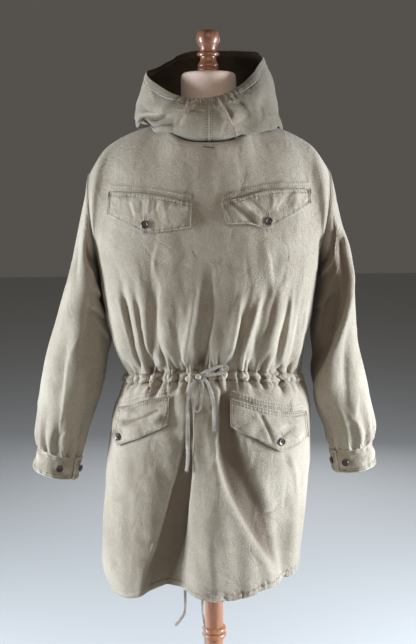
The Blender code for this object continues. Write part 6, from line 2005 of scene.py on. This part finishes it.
# Topstitching: each row is a chain of short stitches, thin between them where the thread dips into the cloth.
stitchMake = {"pitch": 0.0048, "thin": 0.00016, "sink": 0.00035, "proud": 0.00016}
stitchParts = {  # shares of the pitch for the rings, thickness, sides
    "thread": ((0, 0.20, 0.80), 0.0010, 4), "bar": ((0, 0.20, 0.80), 0.0013, 4),
    "pit": ((-0.5, -0.13, 0.13), 0.0015, 3),
}


def evenLine(points, spacing, shares):
    run = runAlong(points)
    count = max(2, round(run[-1] / spacing))
    at = [k + share for k in range(1 if shares[0] < 0 else 0, count) for share in shares]
    at = np.array([*at, count]) * run[-1] / count
    return at, np.stack([np.interp(at, run, points[:, k]) for k in range(3)], -1), run


def stitchChain(points, face, part="thread"):
    # Rings of one row along points on the cloth's face: the thread, or the pits between its stitches.
    shares, thick, sides = stitchParts[part]
    at, line, run = evenLine(points, stitchMake["pitch"], shares)
    out = unit(np.stack([np.interp(at, run, face[:, k]) for k in range(3)], -1))
    kind = np.arange(len(line)) % 3
    size = np.where(kind == 0, stitchMake["thin"], thick)
    line = line + out * np.where(kind == 0, -stitchMake["sink"], stitchMake["proud"])[:, None]
    rings = sweepTube(line, 1.0, 1.0, out, sides)
    return line[:, None] + (rings - line[:, None]) * size[:, None, None]


def sewRows(name, chains, label="seamThread"):
    parts = []
    for k, rings in enumerate(chains):
        parts.append(gridPiece(f"{name}Row{k}", rings, lambda p: (0, 0, 0), (label,), closed=True))
        closeEnds(parts[-1])
    return joinPieces(name, parts)


def makeStitches(name, lines):
    sewRows(name, [stitchChain(*line) for line in lines])
    sewRows(name + "Pits", [stitchChain(*line, "pit") for line in lines], "pitShade")


def levelLine(points, face, field, level, wall):
    # Where a field that grows down the columns passes a level: one point a column, on the outer face.
    spots = np.array([np.interp(level, field[:, j], np.arange(len(field))) for j in range(field.shape[1])])
    low = np.clip(np.floor(spots).astype(int), 0, len(points) - 2)
    f = (spots - low)[:, None]
    cols = np.arange(points.shape[1])
    at = points[low, cols] * (1 - f) + points[low + 1, cols] * f
    out = unit(face[low, cols] * (1 - f) + face[low + 1, cols] * f)
    return at + out * wall / 2, out


def turned(grid):
    return np.swapaxes(grid, 0, 1)


def panelStitches(name, panel, isFront):
    points, face, own, rises = panel["points"], panel["face"], panel["own"], panel["rises"]
    wall, chains = panelMake["wall"], []
    up = downColumns(points)
    at, out = levelLine(points, face, up, panelMake["hemDepth"], wall)
    chains.append((at[1:-1], out[1:-1]))
    angle = wrap(own + (0 if isFront else 180))
    tunnel = points[..., 2] - waistZ(angle) + panelMake["tunnelDrop"]
    for k in (-1, 1):
        at, out = levelLine(points, face, tunnel, k * panelMake["tunnelHalf"], wall)
        chains.append((at[1:-1], out[1:-1]))
    shoulder = np.abs(own[-1]) > bodyCut["neckAngle"] + 2
    far = alongRows(points)
    upper = rises > 1.04
    for place in panelMake["stitchIn"]:
        at, out = levelLine(points, face, up - up[-1:], -place, wall)
        for half in (own[-1] < 0, own[-1] > 0):
            keepAt = shoulder & half
            keepAt[[0, 1, 2, 3, -1, -2, -3, -4]] = False
            chains.append((at[keepAt], out[keepAt]))
        rows = upper if isFront else rises > 0.02
        for flip in (False, True):
            grid, outs, run = points[rows], face[rows], far[rows]
            if flip:
                grid, outs, run = grid[:, ::-1], outs[:, ::-1], run[:, -1:] - run[:, ::-1]
            at, out = levelLine(turned(grid), turned(outs), turned(run), place, wall)
            chains.append((at[:-2], out[:-2]))
    makeStitches(name, chains)


panelStitches("stitchFront", frontPanel, True)
panelStitches("stitchBack", backPanel, False)


def cast(tree, x, z):
    # The point met from the front and the way its face looks, or nothing.
    place, face, _, _ = castFront(tree, x, z)
    return (np.array(place), -np.array(face) if face.y > 0 else np.array(face)) if place else None


def castLine(tree, route, spacing=0.0016):
    # The route's points, in metres of x and z, laid on a surface seen from the front.
    route = np.array(route, float)
    run = np.concatenate([[0], np.cumsum(np.hypot(*np.diff(route, axis=0).T))])
    at = np.linspace(0, run[-1], max(3, round(run[-1] / spacing)))
    found = [cast(tree, np.interp(a, run, route[:, 0]), np.interp(a, run, route[:, 1])) for a in at]
    found = [f for f in found if f]
    return np.array([f[0] for f in found]), np.array([f[1] for f in found])


def insetLine(route, depth):
    # A polyline moved sideways by depth, to the left of its way.
    route = np.array(route, float)
    ahead = unit(np.diff(route, axis=0))
    side = np.stack([-ahead[:, 1], ahead[:, 0]], -1)
    made = [route[0] + side[0] * depth]
    for i in range(1, len(route) - 1):
        both = unit(side[i - 1] + side[i])
        made.append(route[i] + both * depth / max(0.35, both @ side[i]))
    made.append(route[-1] + side[-1] * depth)
    return np.array(made)


def flapStitches():
    chains, above = [], []
    for name, (top, bottom, _, _) in flapCut.items():
        tree = surfaceOf(flaps[name]["obj"])
        edge = [top[0], *bottom, top[-1]]
        for depth in flapMake["stitchIn"]:
            line = insetLine(edge, depth)
            line[0][1] -= 0.002
            line[-1][1] -= 0.002
            at, out = castLine(tree, line)
            chains.append((at, out))
        for depth, rise in zip(flapMake["seamRows"], flapMake["pocketRows"]):
            line = np.array(top, float) - [0, depth]
            line[0, 0] += 0.003
            line[-1, 0] -= 0.003
            xs = np.linspace(line[0, 0], line[-1, 0], 30)
            at, out = castLine(tree, np.stack([xs, curve(line[:, 0], line[:, 1], xs)], -1))
            chains.append((at, out))
            line = np.array(top, float) + [0, rise]
            xs = np.linspace(line[0, 0] + 0.002, line[-1, 0] - 0.002, 30)
            at, out = castLine(frontTree, np.stack([xs, curve(line[:, 0], line[:, 1], xs)], -1))
            above.append((at, out))
    makeStitches("stitchFlaps", chains)
    makeStitches("stitchPockets", above)


flapStitches()


# Buttonholes: a worked slot beside each flap's button, up or down in steps of thread.
buttonholes = {  # middle, lean in degrees from upright, length
    "flap_chest_right": ((-0.1200, 1.3235), 4, 0.014), "flap_chest_left": ((0.1075, 1.3275), -6, 0.013),
    "flap_hip_right": ((-0.1790, 0.9080), -32, 0.014), "flap_hip_left": ((0.1335, 0.9065), 5, 0.014),
}


buttonholeMake = {"half": 0.0016, "wide": 0.0014, "slit": 0.0013, "deep": 0.0007, "proud": 0.0001, "slitShare": 0.36}


def makeButtonholes():
    chains, slits = [], []
    for name, (middle, lean, length) in buttonholes.items():
        tree = surfaceOf(flaps[name]["obj"])
        turn = np.linspace(0, 2 * math.pi, 49)
        a = math.radians(lean)
        flat = np.stack([np.sign(np.cos(turn)) * np.abs(np.cos(turn))**0.6 * buttonholeMake["half"],
                         np.sign(np.sin(turn)) * np.abs(np.sin(turn))**0.6 * length / 2], -1)
        x = middle[0] + flat[:, 0] * math.cos(a) + flat[:, 1] * math.sin(a)
        z = middle[1] + flat[:, 1] * math.cos(a) - flat[:, 0] * math.sin(a)
        found = [cast(tree, *p) for p in zip(x, z)]
        at = np.array([f[0] for f in found])
        out = np.array([f[1] for f in found])
        size = 1 + 0.22 * np.sin(np.arange(len(at)) * 2.4)
        proud, deep = buttonholeMake["proud"], buttonholeMake["deep"]
        chains.append(sweepTube(at + out * proud, buttonholeMake["wide"], deep, out, 6, size))
        reach = buttonholeMake["slitShare"] * length
        line = np.stack([middle[0] + reach * math.sin(a) * np.array((-1, 0, 1)),
                         middle[1] + reach * math.cos(a) * np.array((-1, 0, 1))], -1)
        slit, face = castLine(tree, line, 0.001)
        # a dark tube along the slit: painted shade in the opening
        slits.append(sweepTube(slit + face * proud, buttonholeMake["slit"], deep, face, 6))
    sewRows("buttonholeThread", chains)
    sewRows("buttonholeSlit", slits, "darkThread")


makeButtonholes()


def ringStitches(grid, field, level, wall, centreOf, skip=0, closed=False):
    face = normals(grid, closed=closed)
    face = outward(face, grid - centreOf)
    at, out = levelLine(grid, face, field, level, wall)
    if skip:
        at, out = at[skip:-skip], out[skip:-skip]
    if closed:
        at, out = np.concatenate([at, at[:1]]), np.concatenate([out, out[:1]])
    return at, out


def otherStitches():
    chains = []
    for side in (-1, 1):
        grid = sleeves[side]["points"]
        down = downColumns(grid)
        centre = grid.mean(axis=1, keepdims=True)
        chains.append(ringStitches(grid, down, sleeveMake["sewnAt"], sleeveMake["wall"], centre, closed=True))
    makeStitches("stitchSleeves", chains)
    chains = []
    for side in (-1, 1):
        grid = hoods[side]["points"]
        up = downColumns(grid)
        chains.append(ringStitches(grid, up - up[-1:], -hoodMake["rimIn"], hoodMake["wall"],
                                   np.array([0, 0, 1.5]), skip=2))
        far = alongRows(grid)
        rows = slice(5, -2)
        flip = side < 0
        run = (far[:, -1:] - far)[:, ::-1] if flip else far
        turnedGrid = grid[:, ::-1] if flip else grid
        for other in (False, True):
            use, length = (turnedGrid[:, ::-1], run[:, -1:] - run[:, ::-1]) if other else (turnedGrid, run)
            chains.append(ringStitches(turned(use[rows]), turned(length[rows]), hoodMake["seamIn"],
                                       hoodMake["wall"], np.array([0, 0, 1.5])))
    makeStitches("stitchHood", chains)
    chains = []
    for side in (-1, 1):
        grid = cuffs[side]["points"]
        length, far = downColumns(grid), alongRows(grid)
        centre = grid.mean(axis=(0, 1))
        for place in (cuffMake["edgeIn"], cuffMake["edgeIn"] + cuffMake["rowGap"]):
            for level in (place, None):
                field = length if level else length - length[-1:]
                chains.append(ringStitches(grid, field, level or -place, cuffShape["cloth"], centre, skip=6))
            chains.append(ringStitches(turned(grid[2:-2, ::-1]), turned((far[:, -1:] - far)[2:-2, ::-1]), place,
                                       cuffShape["cloth"], centre))
    makeStitches("stitchCuffs", chains)


otherStitches()


barTack = {"from": (-0.0130, 1.4522), "to": (0.0105, 1.4494), "rows": 3, "rowGap": 0.0007, "spacing": 0.0012}


def placketBar():
    # A dark bar tack across the closed end of the neck opening.
    (x0, z0), (x1, z1) = barTack["from"], barTack["to"]
    chains = []
    for k in range(barTack["rows"]):
        drop = (k - 1) * barTack["rowGap"]
        at, out = castLine(frontTree, ((x0, z0 - drop), (x1, z1 - drop)), barTack["spacing"])
        chains.append(stitchChain(at, out, "bar"))
    sewRows("placketBar", chains, "darkThread")


placketBar()
print("stitches made")


poleProfile = (
    (0.0340, 0.0304), (0.0340, 0.0400), (0.0300, 0.0460), (0.0260, 0.0520), (0.0195, 0.0600),
    (0.0195, 0.4080), (0.0240, 0.4110), (0.0262, 0.4160), (0.0240, 0.4210), (0.0205, 0.4230),
    (0.0240, 0.4250), (0.0258, 0.4290), (0.0240, 0.4330), (0.0195, 0.4360), (0.0195, 0.7996),
)
baseProfile = (
    (0.1860, 0.0000), (0.1900, 0.0040), (0.1900, 0.0140), (0.1840, 0.0190), (0.1760, 0.0215),
    (0.1500, 0.0245), (0.0900, 0.0280), (0.0500, 0.0300),
)
finialProfile = (
    (0.0205, 1.5962), (0.0212, 1.5985), (0.0205, 1.6010), (0.0190, 1.6025), (0.0205, 1.6050),
    (0.0200, 1.6085), (0.0165, 1.6140), (0.0152, 1.6205), (0.0155, 1.6225), (0.0212, 1.6245),
    (0.0216, 1.6275), (0.0208, 1.6300), (0.0160, 1.6330), (0.0158, 1.6365), (0.0182, 1.6430),
    (0.0216, 1.6505), (0.0226, 1.6570), (0.0220, 1.6635), (0.0195, 1.6690), (0.0140, 1.6722),
)
neckCapProfile = (
    (0.0540, 1.5004), (0.0538, 1.5600), (0.0532, 1.5840), (0.0505, 1.5905), (0.0440, 1.5935),
    (0.0250, 1.5957),
)


# The stand: turned pole, base and finial, the neck block, and the torso under its cover.
standMake = {
    "stand_base": (baseProfile, "poleWood", "pole", 128), "stand_pole": (poleProfile, "poleWood", "pole", 64),
    "neck_cap": (neckCapProfile, "formCalico", "calico", 96),
    "neck_finial": (finialProfile, "finialWood", "finial", 72),
}


def smoothProfile(outline, spacing=0.0016, corner=50):
    # Adds points between an outline's own where it bends little, so that its curves are round.
    p = np.array(outline)
    made = [p[0]]
    ways = unit(np.diff(p, axis=0))
    bend = np.degrees(np.arccos(np.clip((ways[:-1] * ways[1:]).sum(-1), -1, 1)))
    for i in range(len(p) - 1):
        size = np.linalg.norm(p[i + 1] - p[i])
        count = min(6, max(1, round(size / spacing)))
        startWay = unit(p[i + 1] - p[i - 1]) if i and bend[i - 1] < corner else ways[i]
        endWay = unit(p[i + 2] - p[i]) if i + 2 < len(p) and bend[i] < corner else ways[i]
        for t in np.linspace(0, 1, count + 1)[1:]:
            h1, h2 = 2 * t**3 - 3 * t**2 + 1, 3 * t**2 - 2 * t**3
            pull = min(size, 0.03)
            made.append(h1 * p[i] + (t**3 - 2 * t**2 + t) * pull * startWay + h2 * p[i + 1]
                        + (t**3 - t**2) * pull * endWay)
    return made


def turnPiece(node):
    outline, finish, slotName, steps = standMake[node]
    line = smoothProfile(outline)
    bm = spun(((0.0, line[0][1]), *line, (0.0, line[-1][1])), steps)
    title = "".join(word.capitalize() for word in node.split("_"))
    obj = finishMesh("turned" + title, bm, (finish,), sharp=38)
    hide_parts(node)


for standNode in standMake:
    turnPiece(standNode)


def makeTorso():
    bm = bmesh.new()
    bm.from_mesh(bpy.data.objects["form_torso"].data)
    bmesh.ops.remove_doubles(bm, verts=bm.verts, dist=1e-5)
    bmesh.ops.recalc_face_normals(bm, faces=bm.faces)
    obj = finishMesh("torsoCover", bm, ("formCalico",), sharp=60)
    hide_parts("form_torso")


makeTorso()
print("stand and form made")


# Sheets as cut: width and length, area, how each is held and what it hangs from. Sleeves and cuffs are given all round.
sheetCuts = (
    (frontPanel["obj"], (0.70, 0.96), 0.560, "gathered", ("form_torso",)),
    (backPanel["obj"], (0.70, 0.96), 0.535, "gathered", ("form_torso",)),
    (sleeves[-1]["obj"], (0.50, 0.56), 0.190, "hung", ("smockFront", "smockBack")),
    (sleeves[1]["obj"], (0.50, 0.56), 0.190, "hung", ("smockFront", "smockBack")),
    (cuffs[-1]["obj"], (0.315, 0.050), 0.0157, "hung", ("smockSleeveRight",)),
    (cuffs[1]["obj"], (0.315, 0.050), 0.0157, "hung", ("smockSleeveLeft",)),
    (hoods[-1]["obj"], (0.50, 0.38), 0.097, "draped", ("smockFront", "smockBack")),
    (hoods[1]["obj"], (0.50, 0.38), 0.097, "draped", ("smockFront", "smockBack")),
    (flaps["flap_chest_right"]["obj"], (0.172, 0.075), 0.0102, "laid", ("smockFront",)),
    (flaps["flap_chest_left"]["obj"], (0.180, 0.072), 0.0096, "laid", ("smockFront",)),
    (flaps["flap_hip_right"]["obj"], (0.152, 0.080), 0.0094, "laid", ("smockFront",)),
    (flaps["flap_hip_left"]["obj"], (0.190, 0.081), 0.0120, "laid", ("smockFront",)),
)
for piece, flat, area, held, restsOn in sheetCuts:
    list(restsOn)
